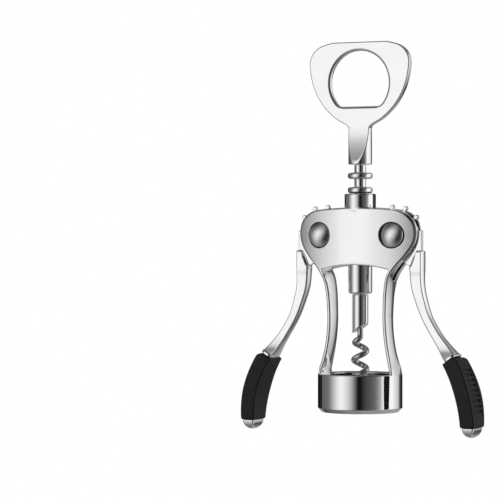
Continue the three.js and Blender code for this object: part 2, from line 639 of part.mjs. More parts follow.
function grip() {
  const shape = new THREE.Shape();
  const outer = GRIP_BEND_RADIUS + GRIP_THICKNESS / 2;
  const inner = GRIP_BEND_RADIUS - GRIP_THICKNESS / 2;
  shape.absarc(bendCentre[0], bendCentre[1], inner, tiltEnd, tiltTop, false);
  shape.absarc(bendCentre[0], bendCentre[1], outer, tiltTop, tiltEnd, true);

  // Chamfered slab as deep as the middle, cut to its barrel shape seen from the side.
  const flat = GRIP_MIDDLE_DEPTH - 2 * GRIP_CHAMFER;
  const slabGeometry = new THREE.ExtrudeGeometry(shape, {
    depth: flat, bevelEnabled: true, bevelThickness: GRIP_CHAMFER, bevelSize: GRIP_CHAMFER,
    bevelOffset: -GRIP_CHAMFER, bevelSegments: 1, curveSegments: 8,
  });
  slabGeometry.translate(0, 0, -flat / 2);
  slabGeometry.rotateX(Math.PI / 2);
  const top = onArc(tiltTop, outer)[1];
  const bottom = onArc(tiltEnd, GRIP_BEND_RADIUS)[1];
  const barrel = smooth([
    [GRIP_END_DEPTH / 2, bottom - CUT_MARGIN],
    [GRIP_MIDDLE_DEPTH / 2, (top + bottom) / 2 - CUT_MARGIN],
    [GRIP_TOP_DEPTH / 2, top + CUT_MARGIN],
  ], 8);
  const body = solid(slabGeometry).intersect(sidePlate(bothSides(barrel), THROUGH * 2));
  const studTop = END_CAP_STUD_LENGTH + FIT_GAP;
  const studSocket = rod(END_CAP_STUD_RADIUS + FIT_GAP, -CUT_MARGIN, studTop, 16);
  return body.subtract(tang(FIT_GAP)).subtract(atTilt(studSocket, tiltEnd));
}

// Oval dome below the grip, with a stud that goes up into it.
function endCap() {
  const top = -SEAT_GAP;
  const size = [GRIP_THICKNESS / 2 - END_CAP_INSET, GRIP_END_DEPTH / 2 - END_CAP_INSET, END_CAP_HEIGHT];
  const unitBowl = turned([[0, -1], [0.42, -0.93], [0.72, -0.72], [0.9, -0.38], [1, 0], [0, 0]], 24);
  const bowl = unitBowl.scale(size).translate([0, 0, top]);
  const stud = rod(END_CAP_STUD_RADIUS, top - CUT_MARGIN, END_CAP_STUD_LENGTH, 16);
  return atTilt(joined([bowl, stud]), tiltEnd);
}

// ---------------------------------------------------------------- assembly

const corkscrew = new THREE.Group();
corkscrew.add(
  mesh(frameBody(), 'frame_body', chrome),
  mesh(spindleRack(), 'spindle_rack', chrome),
  mesh(screwShaft(), 'screw_shaft', satinSteel),
  mesh(wormHolder(), 'worm_holder', chrome),
  mesh(worm(), 'worm', wormSteel),
  mesh(openerHandle(), 'opener_handle', chrome),
);

for (const [sideName, sideSign] of [['left', -1], ['right', 1]]) {
  const arm = new THREE.Group();
  arm.position.set(sideSign * PIVOT_X, 0, PIVOT_Z);
  arm.scale.x = sideSign;
  arm.add(
    mesh(lever(), `${sideName}_lever`, chrome),
    mesh(gripCollar(), `${sideName}_grip_collar`, chrome),
    mesh(grip(), `${sideName}_grip`, blackGrip),
    mesh(endCap(), `${sideName}_end_cap`, chrome),
  );

  const pin = mesh(pivotPin(), `${sideName}_pivot_pin`, satinSteel);
  pin.position.set(sideSign * PIVOT_X, 0, PIVOT_Z);
  pin.rotation.x = Math.PI / 2;
  const cap = mesh(pinCap(), `${sideName}_pin_cap`, satinSteel);
  cap.position.set(sideSign * PIVOT_X, headSeat, PIVOT_Z);
  cap.rotation.x = -Math.PI / 2;
  corkscrew.add(arm, pin, cap);
}

export default corkscrew;
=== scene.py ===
"""Looks of the lever corkscrew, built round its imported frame.

Shapes are worked out in millimetres in the frame's own axes and turned into metres when a piece is
made. Cast and moulded pieces are skins of signed distances, so that every edge has its own rounding.
"""
import math

import bpy
import numpy as np
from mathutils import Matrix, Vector


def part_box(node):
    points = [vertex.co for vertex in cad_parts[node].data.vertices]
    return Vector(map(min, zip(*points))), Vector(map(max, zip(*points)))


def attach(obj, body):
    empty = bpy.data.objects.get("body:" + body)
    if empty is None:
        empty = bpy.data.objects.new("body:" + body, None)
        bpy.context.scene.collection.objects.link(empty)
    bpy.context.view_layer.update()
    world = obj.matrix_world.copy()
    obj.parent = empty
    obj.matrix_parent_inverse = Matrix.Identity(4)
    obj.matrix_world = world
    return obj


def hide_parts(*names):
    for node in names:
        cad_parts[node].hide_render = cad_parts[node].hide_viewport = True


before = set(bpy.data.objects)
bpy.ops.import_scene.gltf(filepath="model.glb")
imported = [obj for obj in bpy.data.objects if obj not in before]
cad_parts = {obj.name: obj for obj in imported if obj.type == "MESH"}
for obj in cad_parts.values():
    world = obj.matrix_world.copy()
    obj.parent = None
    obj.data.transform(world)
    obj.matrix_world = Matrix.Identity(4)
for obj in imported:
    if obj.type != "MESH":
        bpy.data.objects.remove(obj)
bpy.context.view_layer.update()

MM = 0.001


def node_box(node):
    """Lowest and highest corner of a CAD node, in millimetres."""
    low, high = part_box(node)
    return np.array(low) / MM, np.array(high) / MM


# ---------------- sizes from the frame

FRAME_HIGH = node_box("frame_body")[1]
PIN_LOW, PIN_HIGH = node_box("right_pivot_pin")
CAP_LOW = node_box("right_pin_cap")[0]
RACK_LOW, RACK_HIGH = node_box("spindle_rack")
SHAFT_LOW, SHAFT_HIGH = node_box("screw_shaft")
HOLDER_LOW, HOLDER_HIGH = node_box("worm_holder")
WORM_LOW, WORM_HIGH = node_box("worm")
OPENER_LOW, OPENER_HIGH = node_box("opener_handle")

PIVOT_X = (PIN_LOW[0] + PIN_HIGH[0]) / 2
PIVOT_Z = (PIN_LOW[2] + PIN_HIGH[2]) / 2
DOME_RADIUS = (PIN_HIGH[0] - PIN_LOW[0]) / 2
COLLAR_TOP_Z = FRAME_HIGH[2]
BELL_RADIUS = FRAME_HIGH[1]
RACK_TOP_Z = RACK_HIGH[2]
RACK_BOTTOM_Z = RACK_LOW[2]
RING_RADIUS = RACK_HIGH[0]
SHAFT_RADIUS = SHAFT_HIGH[0]
HOLDER_RADIUS = HOLDER_HIGH[1]
HOLDER_TOP_Z = HOLDER_HIGH[2]
HOLDER_BOTTOM_Z = HOLDER_LOW[2]
NECK_BOTTOM_Z = OPENER_LOW[2]
OPENER_TOP_Z = OPENER_HIGH[2]
WORM_TIP_Z = WORM_LOW[2]
WORM_TOP_Z = WORM_HIGH[2]

# ---------------- sizes of the pieces

EDGE_ROUNDING = 0.2
FACE_ROUNDING = 0.3
SOFT_ROUNDING = 0.6
CLEARANCE = 0.3  # of the bores that the shaft and the worm's wire sit in
FAR = 60  # well outside the object, where half outlines are closed

BELL_HEIGHT = 18
BELL_CHAMFER = 1.9
BELL_ROUNDING = 0.6
BELL_MOUTH_RADIUS = 15.2
BELL_SEAT_Z = 9.5
BELL_THROAT_RADIUS = 13.25

WAIST_HALF = 15.2
WAIST_Z = 45
POST_THICKNESS = 1.6
FOOT_FLARE = 3.25  # how strongly the posts' feet curve out to the bell
FOOT_OVERLAP = 1.2  # how deep the feet go into the bell's wall
FOOT_GROWTH = 8  # how far above the bell the outer faces' bulge is full
FOOT_LIMIT_SLOPE = 0.4  # how gently the bell's cylinder lets go of the posts below the waist
POST_DEPTHS = [(6.1, 12), (5.9, 18), (4.5, 28), (4.4, 45), (5.2, 60), (7.2, 69), (7.35, 74), (7.35, 80)]
NET_X = (12, 21)  # between these the casting's net is finer across,
NET_Y = (3.6, 8.4)  # between these in depth,
NET_Z = 63  # and below this in height
HEAD_BOTTOM_Z = 69
HEAD_ARCH_RISE = 1.9
HEAD_TOP_Z = 95.6
HEAD_HALF = 7.35
HEAD_BOW_RADIUS = 124
HEAD_CURL_X = 17  # from here outwards the bowed faces fall away faster
HEAD_CURL = 0.0026
HEAD_END_X = (21, 27)  # between these the bevel round the head's ends widens
HEAD_END_Z = (HEAD_BOTTOM_Z, HEAD_BOTTOM_Z + 5)
SLOT_HALF = 1.4
SLOT_FLOOR_Z = 68.2
SLOT_OPEN_X = 13.2  # the slot is open to the window up to here
RUNOUT_Z = 61.5  # where the slot runs out on the post's outer face
RUNOUT_DEPTH = 0.9
OUTER_BULGE = 0.42  # how far the middle of the posts' outer faces stands out
INNER_BULGE = 0.45  # and of their inner faces
OUTER_BEVEL = 0.42  # how much the bevels take off the front faces
HEAD_END_BEVEL = 0.85  # the outer one, round the head's ends
INNER_BEVEL = 0.45
ARCH_BEVEL_SHARE = 0.8  # of the inner bevel, at the top of the gap between the posts
ARCH_BEVEL_Z = (HEAD_BOTTOM_Z - 3, HEAD_BOTTOM_Z - 8)  # between these it widens
BEVEL_LEAN = math.radians(35)  # from the front face
COLLAR_FOOT_Z = HEAD_TOP_Z - 1.5
BORE_RADIUS = 6.1
BORE_BOTTOM_Z = HEAD_BOTTOM_Z - 5
BORE_ROUNDING = 0.4
RECESS_RADIUS = 6.15
RECESS_FLOOR_Y = 4.1
RECESS_LIP = 0.35  # how deep the bright plate goes into a recess before the painted shade starts
RECESS_SHADE_REACH = 0.25  # how far the painted shade on its wall goes past its radius
SHADE_MARGIN = 0.15  # over which the plate passes into the painted shade of the slot and recesses
DOME_SHARE = 0.5  # of the pin head's height, over its straight rim
DOME_RIM_ROUNDING = 0.15
CHEEK_EDGE = [
    (-3.1, -27), (-1.4, -19.5), (2.4, -13.8), (6.7, -9.3), (10, -4.6), (11.3, 0.2),
    (10.5, 5.1), (8.1, 8.4), (4.4, 10.7), (0, 11.7), (-8.6, 12.4),
]

HUB_RADIUS = 11.3
HUB_HALF = 1.1
TOOTH_CIRCLE_RADIUS = 13.3
TOOTH_RADIUS = 1.05
TOOTH_STEM_HALF = 0.75
TOOTH_STEM_REACH = (9.5, 13.5)
TOOTH_COUNT = 7
TOOTH_ANGLE = 30
FIRST_TOOTH_ANGLE = -39
PIN_HOLE_RADIUS = 2.7
HUB_HEEL = [(0, 2.2), (13.3, 2.2), (13.3, -14.9), (7.8, -14.9), (0, -10.3)]
ARM_SHOULDER = [
    (13.55, -7.7), (11.2, -7.8), (9.5, -10.4), (8.3, -13.4), (7.65, -15.9), (13.55, -15.9),
]
ARM_LINE = [(10.6, -14), (11, -23.2), (12.6, -29.8), (15.8, -38.4), (20.8, -46.6), (25.3, -52.5)]
ARM_WIDTHS = [5.9, 5.3, 4.6, 3.8, 3.7, 4.5, 5.6]
ARM_DEPTHS = [
    (5.2, -62), (5.2, -58.5), (4.3, -56), (3.2, -53), (2.5, -49), (2.3, -44), (2.3, -32), (2.5, -20),
    (2.8, -14.9), (2.8, 0),
]
ARM_INNER_BULGE = 0.3  # how far the middle of the side stands out that faces the frame
ARM_OUTER_BULGE = 0.6
ARM_INNER_BEVEL = 0.42
ARM_OUTER_BEVEL = 0.05
ARM_TURN = 0.5  # width over which the inner side's shape passes to the outer one's
SHOULDER_BEVEL = 0.95  # the inner one, at the arm's top
SHOULDER_Z = (-15.5, -13.5)  # between these it widens
TANG_HALF = (1.3, 3.25)  # outwards and in depth
TANG_REACH = (-10, 2)  # along the grip, from its top

GRIP_TOP = (29.2, -57.3)
GRIP_TILT = math.radians(33)
GRIP_BEND_RADIUS = 57
GRIP_HALF = 3.7
GRIP_DEPTHS = [(5.9, -89.3), (7.5, -72.8), (6.2, -54.3)]
GRIP_SLANT = (0.75, 0.66)  # direction that the cut at its top corner faces, outwards and up
GRIP_SLANT_START = 2  # how far out from its middle line the cut starts
GRIP_SIDE_ROUNDING = 0.8
GRIP_TOP_ROUNDING = 0.5
GRIP_FOOT_ROUNDING = 0.9
COLLAR_HALF = (3, 5.3)
COLLAR_HEIGHT = 1.4
COLLAR_CORNER = 2.2
TRIM_GAP = 0.1  # between the grip, its collar, the arm and the end dome
TIP_HEIGHT = 4.9
TIP_HALF = (3, 5.5)
RIB_COUNT = 9
RIB_PITCH = 2.35
RIB_ROUNDING = 0.15
PANEL_HALF = 4.9  # the ribs stand in a sunk panel
PANEL_MARGIN = 0.6  # beyond the ribs, in pitches
PANEL_DEPTH = 0.35
GROOVE_HALF = (0.5, 4.3)  # along the grip and in depth
GROOVE_DEPTH = 0.95

RACK_PITCH = 6.754
RING_COUNT = 6
RING_THICKNESS = 2.9
RING_ROUNDING = 1.0
RING_LIFT = 0.3  # of the rings, over whole pitches down from the rack's top
RACK_CORE_RADIUS = 2.75
BARREL_RADIUS = 5.65
BARREL_TOP_Z = 70.6

OPENER_HALF = 1.65
NECK_RADIUS = 5.55
SCARF_BOTTOM_Z = NECK_BOTTOM_Z + 1.1
SCARF_TOP_Z = 134.5
SCARF_POWER = 1.6
EYE_RADIUS = 15.1
EYE_ROUNDING = 1.5
EYE_Z = 154.2
LIP_Z = 143.3
PLATE_BOTTOM = (5.5, 132)
OPENER_EDGE = [
    (5.5, 132.9), (6.8, 134.5), (12.9, 138), (19.2, 144.1), (23.8, 152.1),
    (26, 161.5), (25.2, 167.2), (21, 171.5), (14, 173.5),
]

WORM_WIRE_RADIUS = 1.35
WORM_OUTER_RADIUS = 4.3
WORM_PITCH = 8.5
WORM_POINT_LENGTH = 7
WORM_OPENING = 0.6  # of a turn, over which the coil leaves the shaft's line
SLEEVE_SLOPE = 5 / 8.4  # of the slanted cut at its bottom
SLEEVE_SLANT_Z = HOLDER_BOTTOM_Z + 2.5
SLEEVE_BORE_DEPTH = 9

# ---------------- lines and distances


def smooth_line(points, count):
    """Points on a Catmull-Rom curve through the given ones."""
    points = np.array(points, float)
    spans = len(points) - 1
    at = np.linspace(0, spans, count + 1)
    first = np.minimum(at.astype(int), spans - 1)
    t = (at - first)[:, None]
    before = points[np.maximum(first - 1, 0)]
    start = points[first]
    end = points[first + 1]
    after = points[np.minimum(first + 2, spans)]
    slope_in = (end - before) / 2
    slope_out = (after - start) / 2
    cubic = 2 * start - 2 * end + slope_in + slope_out
    square = -3 * start + 3 * end - 2 * slope_in - slope_out
    return cubic * t ** 3 + square * t ** 2 + slope_in * t + start


def bezier_line(a, b, c, d, count):
    """Points on a cubic curve, without its last point."""
    t = np.arange(count)[:, None] / count
    a, b, c, d = (np.array(p, float) for p in (a, b, c, d))
    return a * (1 - t) ** 3 + 3 * b * t * (1 - t) ** 2 + 3 * c * t ** 2 * (1 - t) + d * t ** 3


def band_outline(line, widths, count):
    """Outline of a band of changing width along a line."""
    middle = smooth_line(line, count)
    half = np.interp(np.linspace(0, 1, count + 1), np.linspace(0, 1, len(widths)), widths) / 2
    along = np.gradient(middle, axis=0)
    along /= np.linalg.norm(along, axis=1)[:, None]
    across = np.stack([along[:, 1], -along[:, 0]], 1) * half[:, None]
    return np.concatenate([middle + across, (middle - across)[::-1]])


def outline_distance(x, z, corners):
    """Signed distance to a closed outline, less than nought inside."""
    nearest = np.full(np.broadcast(x, z).shape, np.inf)
    inside = np.zeros(nearest.shape, bool)
    for (ax, az), (bx, bz) in zip(corners, np.roll(corners, -1, axis=0)):
        ex, ez = bx - ax, bz - az
        length = ex * ex + ez * ez
        if length == 0:
            continue
        px, pz = x - ax, z - az
        share = np.clip((px * ex + pz * ez) / length, 0, 1)
        nearest = np.minimum(nearest, (px - ex * share) ** 2 + (pz - ez * share) ** 2)
        if ez != 0:
            inside ^= ((az > z) != (bz > z)) & (px < ex * pz / ez)
    return np.where(inside, -1, 1) * np.sqrt(nearest)


class Outline:
    """Signed distance to a closed outline, read off a fine table between two corners."""

    def __init__(self, corners, low, high, step=0.1):
        self.low = low
        self.step = step
        x = np.arange(low[0], high[0], step)
        z = np.arange(low[1], high[1], step)
        self.table = outline_distance(x[:, None], z[None, :], np.asarray(corners, float))

    def __call__(self, x, z):
        columns, rows = self.table.shape
        across = np.clip((x - self.low[0]) / self.step, 0, columns - 1.001)
        up = np.clip((z - self.low[1]) / self.step, 0, rows - 1.001)
        i, j = across.astype(int), up.astype(int)
        across, up = across - i, up - j
        below = self.table[i, j] * (1 - across) + self.table[i + 1, j] * across
        above = self.table[i, j + 1] * (1 - across) + self.table[i + 1, j + 1] * across
        return below * (1 - up) + above * up


def both(a, b, rounding):
    """Where two shapes overlap, with a rounded edge."""
    corner = np.hypot(np.maximum(a + rounding, 0), np.maximum(b + rounding, 0))
    return np.minimum(np.maximum(a, b), -rounding) + corner


def either(a, b, rounding):
    """Two shapes joined, with a fillet."""
    return -both(-a, -b, rounding)


def without(a, b, rounding):
    """The first shape with the second cut out of it, with a rounded edge."""
    return both(a, -b, rounding)


def bevelled(front, side, width, rounding):
    """Where a front face meets a side, with a flat bevel that takes this width off the front face."""
    flat = front * math.cos(BEVEL_LEAN) + (side + width) * math.sin(BEVEL_LEAN)
    return both(both(front, side, rounding), flat, rounding)


def rise(value, places):
    """Share of the way from one place to another, from nought to one."""
    return np.clip((value - places[0]) / (places[1] - places[0]), 0, 1)


def blend(share, low, high):
    return low + (high - low) * share


def layer(value, low, high):
    """Distance to the layer between two places."""
    return np.abs(value - (low + high) / 2) - (high - low) / 2


def half_width(half_widths, at):
    """Half-width and its slope along a smooth line of (half-width, place)."""
    line = smooth_line(half_widths, 60)
    line = line[np.argsort(line[:, 1])]
    slope = np.gradient(line[:, 0], line[:, 1])
    return np.interp(at, line[:, 1], line[:, 0]), np.interp(at, line[:, 1], slope)


def slab(value, half_widths, at):
    """Distance to a slab whose half-width changes along a smooth line."""
    half, slope = half_width(half_widths, at)
    return (np.abs(value) - half) / np.hypot(1, slope)


def ellipse(a, b, half_a, half_b):
    """Nearly the distance to an ellipse."""
    reach = np.maximum(np.hypot(a / half_a, b / half_b), 0.05)
    slope = np.hypot(a / half_a ** 2, b / half_b ** 2) + 1e-6
    return (reach - 1) * reach / slope


# ---------------- meshes

FRAME_VOXELS = ((0.19, 0.31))  # where its net is fine, and elsewhere
FINE_VOXEL = 0.3
FINEST_VOXEL = 0.22
WORM_STEPS = 220
PROFILE_STEPS = 6  # round each corner of a turned profile
CELL_CORNERS = np.array([(i, j, k) for i in (0, 1) for j in (0, 1) for k in (0, 1)])


def slope_of(distance, points, reach):
    """Gradient of a distance at points."""
    slope = np.empty_like(points)
    for axis in range(3):
        ahead, behind = points.copy(), points.copy()
        ahead[:, axis] += reach
        behind[:, axis] -= reach
        slope[:, axis] = (distance(*ahead.T) - distance(*behind.T)) / (2 * reach)
    return slope


def net_points(field, cells):
    """One point for each cell that the surface crosses: the mean of the crossings on its edges."""
    total = np.zeros((len(cells), 3))
    hits = np.zeros((len(cells), 1))
    for axis in range(3):
        step = np.eye(3, dtype=int)[axis]
        for corner in CELL_CORNERS[CELL_CORNERS[:, axis] == 0]:
            start = cells + corner
            a = field[tuple(start.T)]
            b = field[tuple((start + step).T)]
            crossed = (a < 0) != (b < 0)
            share = np.where(crossed, a / np.where(crossed, a - b, 1), 0)[:, None]
            total += crossed[:, None] * (corner + share * step)
            hits += crossed[:, None]
    return cells + total / hits


def net_faces(solid, number):
    """A quad round each grid edge that the surface crosses, facing outwards."""
    faces = []
    for axis in range(3):
        u, v = (axis + 1) % 3, (axis + 2) % 3
        low = np.take(solid, range(solid.shape[axis] - 1), axis)
        high = np.take(solid, range(1, solid.shape[axis]), axis)
        at = np.argwhere(low != high)
        du, dv = np.eye(3, dtype=int)[u], np.eye(3, dtype=int)[v]
        ring = np.stack([number[tuple((at - d).T)] for d in (du + dv, dv, du * 0, du)], 1)
        inwards = high[tuple(at.T)]
        ring[inwards] = ring[inwards][:, ::-1]
        faces.append(ring)
    return np.concatenate(faces)


def mixed_axis(places, voxels):
    """Grid places along an axis, with its own spacing between each two of the given places."""
    spans = []
    for start, end, voxel in zip(places, places[1:], voxels):
        spans.append(np.linspace(start, end, math.ceil((end - start) / voxel), endpoint=False))
    return np.concatenate([*spans, places[-1:]])


def skin(distance, axes, voxel):
    """Points, quads and normals of the surface where a signed distance is nought, by surface nets."""
    x, y, z = np.meshgrid(*axes, indexing="ij", sparse=True)
    field = np.broadcast_to(distance(x, y, z), [len(axis) for axis in axes])
    solid = field < 0
    count = np.zeros([len(axis) - 1 for axis in axes], np.int8)
    for i, j, k in CELL_CORNERS:
        count += solid[i:i + count.shape[0], j:j + count.shape[1], k:k + count.shape[2]]
    cells = np.argwhere((count > 0) & (count < 8))
    number = np.full(count.shape, -1)
    number[tuple(cells.T)] = np.arange(len(cells))
    places = net_points(field, cells)
    points = np.stack([np.interp(p, np.arange(len(axis)), axis) for p, axis in zip(places.T, axes)], 1)
    faces = net_faces(solid, number)
    for _ in range(3):
        slope = slope_of(distance, points, voxel / 8)
        step = distance(*points.T) / np.maximum((slope ** 2).sum(1), 0.25)
        points -= slope * np.clip(step, -voxel, voxel)[:, None]
    normals = slope_of(distance, points, voxel / 3)
    return points, faces, normals


def node_skin(distance, node, voxel):
    """A skin on an even grid, a little larger than a CAD node's box."""
    axes = [np.arange(a - 2.5 * voxel, b + 3 * voxel, voxel) for a, b in zip(*node_box(node))]
    return skin(distance, axes, voxel)


def rounded_profile(corners):
    """Points and outward normals along (radius, height, rounding) corners that run up the outside."""
    places = np.array([corner[:2] for corner in corners], float)
    spots, normals = [], []
    for i, (_, _, rounding) in enumerate(corners):
        here, before, after = places[i], places[i - 1], places[(i + 1) % len(places)]
        come = (here - before) / np.linalg.norm(here - before)
        leave = (after - here) / np.linalg.norm(after - here)
        turn = math.atan2(come[0] * leave[1] - come[1] * leave[0], come @ leave)
        reach = rounding * math.tan(abs(turn) / 2)
        side = rounding * math.copysign(1, turn)
        start = here - come * reach
        heading = math.atan2(come[1], come[0])
        first = np.array([math.sin(heading), -math.cos(heading)])
        for angle in heading + turn * np.linspace(0, 1, PROFILE_STEPS + 1):
            normal = np.array([math.sin(angle), -math.cos(angle)])
            spots.append(start + side * (normal - first))
            normals.append(normal)
    return np.array(spots), np.array(normals)


def turned(spots, slopes, sides=96):
    """Points, quads and normals of a closed profile, with its normals, turned round Z."""
    angles = np.arange(sides)[:, None] * 2 * math.pi / sides
    around = [np.cos(angles), np.sin(angles)]

    def spun(pairs):
        height = np.broadcast_to(pairs[:, 1], (sides, len(pairs)))
        return np.stack([pairs[:, 0] * around[0], pairs[:, 0] * around[1], height], 2).reshape(-1, 3)

    count = len(spots)
    on_axis = spots[:, 0] < 1e-6
    slopes[on_axis, 0] = 0
    here = np.arange(sides)[:, None] * count
    ahead = (np.arange(sides)[:, None] + 1) % sides * count
    low, high = np.arange(count), (np.arange(count) + 1) % count
    shown = ~(on_axis[low] & on_axis[high])
    low, high = low[shown], high[shown]
    faces = np.stack([here + low, ahead + low, ahead + high, here + high], 2).reshape(-1, 4)
    return spun(spots), faces, spun(slopes)


def swept(path, radii, outwards, sides=20):
    """Points, faces and normals of a tube along a path, closed at both ends."""
    along = np.gradient(path, axis=0)
    along /= np.linalg.norm(along, axis=1)[:, None]
    outwards = outwards - (outwards * along).sum(1)[:, None] * along
    outwards /= np.linalg.norm(outwards, axis=1)[:, None]
    across = np.cross(along, outwards)
    angles = np.arange(sides) * 2 * math.pi / sides
    normals = outwards[:, None] * np.cos(angles)[:, None] + across[:, None] * np.sin(angles)[:, None]
    points = path[:, None] + normals * radii[:, None, None]
    start = np.arange(len(path) - 1)[:, None] * sides
    here, ahead = np.arange(sides), (np.arange(sides) + 1) % sides
    faces = np.stack([start + here, start + ahead, start + sides + ahead, start + sides + here], 2)
    faces = faces.reshape(-1, 4).tolist()
    faces.append(list(range(sides))[::-1])
    faces.append([(len(path) - 1) * sides + i for i in range(sides)])
    return points.reshape(-1, 3), faces, normals.reshape(-1, 3)


def mirrored(points, faces, normals):
    """The same surface on the other side of X = 0."""
    flip = np.array([-1, 1, 1])
    return points * flip, np.asarray(faces)[:, ::-1], normals * flip


def turned_to_y(points, faces, normals, facing):
    """A surface drawn round Z, turned so that its top faces the front (-1) or the back (1)."""
    def turn(v):
        return np.stack([v[:, 0] * facing, v[:, 2] * facing, -v[:, 1]], 1)
    return turn(points), faces, turn(normals)


def add_object(name, data):
    added = bpy.data.objects.new(name, data)
    bpy.context.scene.collection.objects.link(added)
    return added


def make_piece(name, surface, slot, body, node):
    """A piece with its slot's look, riding on a body, in place of one CAD node."""
    points, faces, normals = surface
    mesh = bpy.data.meshes.new(name)
    mesh.from_pydata((points * MM).tolist(), [], np.asarray(faces, dtype=object).tolist())
    mesh.validate()
    mesh.shade_smooth()
    lengths = np.linalg.norm(normals, axis=1)[:, None]
    mesh.normals_split_custom_set_from_vertices((normals / np.maximum(lengths, 1e-9)).tolist())
    mesh.materials.append(LOOKS[slot])
    piece = add_object(name, mesh)
    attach(piece, body)
    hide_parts(node)
    return piece


# ---------------- materials

SHADE_MARK = "painted_shade"  # name of the mesh attribute that marks where shade is painted: the slot and the recesses round the pins
CHROME_DARK = (0.9, 0.905, 0.912)
CHROME_LIGHT = (0.94, 0.94, 0.945)
# Painted shade for the slot and the recesses round the pins
PAINTED_SHADE_TONE = (0.04, 0.04, 0.042)
GRIP_DARK = (0.0035, 0.0035, 0.0036)
GRIP_LIGHT = (0.006, 0.006, 0.0061)
FRONT_FACING = (0.93, 0.985)  # a normal's part along Y, where a face starts to count and fully does


class Nodes:
    """The nodes of a material or world, with short ways to add the usual ones."""

    def __init__(self, owner):
        self.owner = owner
        owner.use_nodes = True
        self.tree = owner.node_tree
        self.shader = self.tree.nodes.get("Principled BSDF")

    def add(self, kind):
        return self.tree.nodes.new("ShaderNode" + kind)

    def link(self, source, target):
        self.tree.links.new(source, target)

    def set(self, name, value):
        self.shader.inputs[name].default_value = value

    def math(self, operation, a, b=0.0):
        """Result of a function of numbers or of other nodes' outputs."""
        node = self.add("Math")
        node.operation = operation
        for socket, value in zip(node.inputs, (a, b)):
            if isinstance(value, (int, float)):
                socket.default_value = value
            else:
                self.link(value, socket)
        return node.outputs["Value"]

    def ramp(self, source, stops):
        """Colour by a value from nought to one, along stops of (place, colour)."""
        node = self.add("ValToRGB")
        elements = node.color_ramp.elements
        while len(elements) < len(stops):
            elements.new(0.5)
        for element, (place, colour) in zip(elements, stops):
            element.position = place
            element.color = (*colour, 1)
        self.link(source, node.inputs["Fac"])
        return node.outputs["Color"]

    def noise(self, scale, detail=3, stretch=(1, 1, 1)):
        """Noise in object space. A larger stretch makes finer grain along that axis."""
        mapping = self.add("Mapping")
        mapping.inputs["Scale"].default_value = stretch
        self.link(self.add("TexCoord").outputs["Object"], mapping.inputs["Vector"])
        node = self.add("TexNoise")
        node.inputs["Scale"].default_value = scale
        node.inputs["Detail"].default_value = detail
        self.link(mapping.outputs["Vector"], node.inputs["Vector"])
        return node.outputs["Fac"]

    def spread(self, source, low, high, start=0.3, end=0.7):
        """A value from start to end, spread over low to high."""
        node = self.add("MapRange")
        limits = {"From Min": start, "From Max": end, "To Min": low, "To Max": high}
        for name, limit in limits.items():
            node.inputs[name].default_value = limit
        self.link(source, node.inputs["Value"])
        return node.outputs["Result"]

    def mix(self, share, first, second):
        """One shader, and as much of a second one as the share says."""
        node = self.add("MixShader")
        for socket, source in zip(node.inputs, (share, first, second)):
            self.link(source, socket)
        return node.outputs["Shader"]

    def tint(self, source, dark, light, painted_shade=None):
        """Base colour from noise, with a third, dark colour painted as shade where a piece marks its
        slot and recesses.
        """
        stops = [(0.3, dark), (0.7, light)]
        # Painted shade: where the mark is set, the dark colour takes over from the noise tone.
        if painted_shade:
            marked = self.add("Attribute")
            marked.attribute_name = SHADE_MARK
            source = self.math("MULTIPLY", source, self.math("SUBTRACT", 1.0, marked.outputs["Fac"]))
            stops = [(0.05, painted_shade), (0.2, dark), (0.7, light)]
        self.link(self.ramp(source, stops), self.shader.inputs["Base Color"])

    def bump(self, source, depth, strength=1.0):
        """Relief as deep as depth, in millimetres."""
        node = self.add("Bump")
        node.inputs["Distance"].default_value = depth * MM
        node.inputs["Strength"].default_value = strength
        self.link(source, node.inputs["Height"])
        self.link(node.outputs["Normal"], self.shader.inputs["Normal"])

    def facing_front(self):
        """One on faces that look straight to the front or back, nought elsewhere."""
        split = self.add("SeparateXYZ")
        self.link(self.add("NewGeometry").outputs["Normal"], split.inputs["Vector"])
        return self.spread(self.math("ABSOLUTE", split.outputs["Y"]), 0, 1, *FRONT_FACING)


def plated(name, satin):
    """Bright chrome plate; satin is the roughness added on faces that look to the front or back."""
    nodes = Nodes(bpy.data.materials.new(name))
    nodes.set("Metallic", 1.0)
    # Noise tone, with painted shade in the slot and recesses that a piece marks.
    nodes.tint(nodes.noise(90, 4), CHROME_DARK, CHROME_LIGHT, PAINTED_SHADE_TONE)
    polish = nodes.spread(nodes.noise(1400, 3, (1, 1, 0.15)), 0.0, 0.03)
    haze = nodes.spread(nodes.noise(160, 4), 0.03, 0.06)
    rough = nodes.math("ADD", polish, haze)
    if satin:
        rough = nodes.math("ADD", rough, nodes.math("MULTIPLY", nodes.facing_front(), satin))
    nodes.link(rough, nodes.shader.inputs["Roughness"])
    nodes.bump(nodes.noise(260, 2), 0.0025)
    return nodes.owner


def steel(name, dark, light, rough_low, rough_high, grain):
    """Bare steel with fine marks."""
    nodes = Nodes(bpy.data.materials.new(name))
    nodes.set("Metallic", 1.0)
    nodes.tint(nodes.noise(300, 4, grain), (dark,) * 3, (light,) * 3)
    marks = nodes.noise(1800, 4, grain)
    nodes.link(nodes.spread(marks, rough_low, rough_high), nodes.shader.inputs["Roughness"])
    nodes.bump(marks, 0.008)
    return nodes.owner


def moulded(name):
    """Black moulded grip with a fine even grain."""
    nodes = Nodes(bpy.data.materials.new(name))
    nodes.set("Specular IOR Level", 0.32)
    nodes.tint(nodes.noise(220, 4), GRIP_DARK, GRIP_LIGHT)
    grain = nodes.noise(3200, 2)
    rough = nodes.math("ADD", nodes.spread(nodes.noise(400, 3), 0.4, 0.5), nodes.spread(grain, 0, 0.06))
    nodes.link(rough, nodes.shader.inputs["Roughness"])
    nodes.bump(grain, 0.02, 0.5)
    return nodes.owner


SATIN = {
    "frame_chrome": 0.1, "spindle_chrome": 0, "handle_chrome": 0.04, "lever_chrome": 0.05,
    "trim_chrome": 0,
}
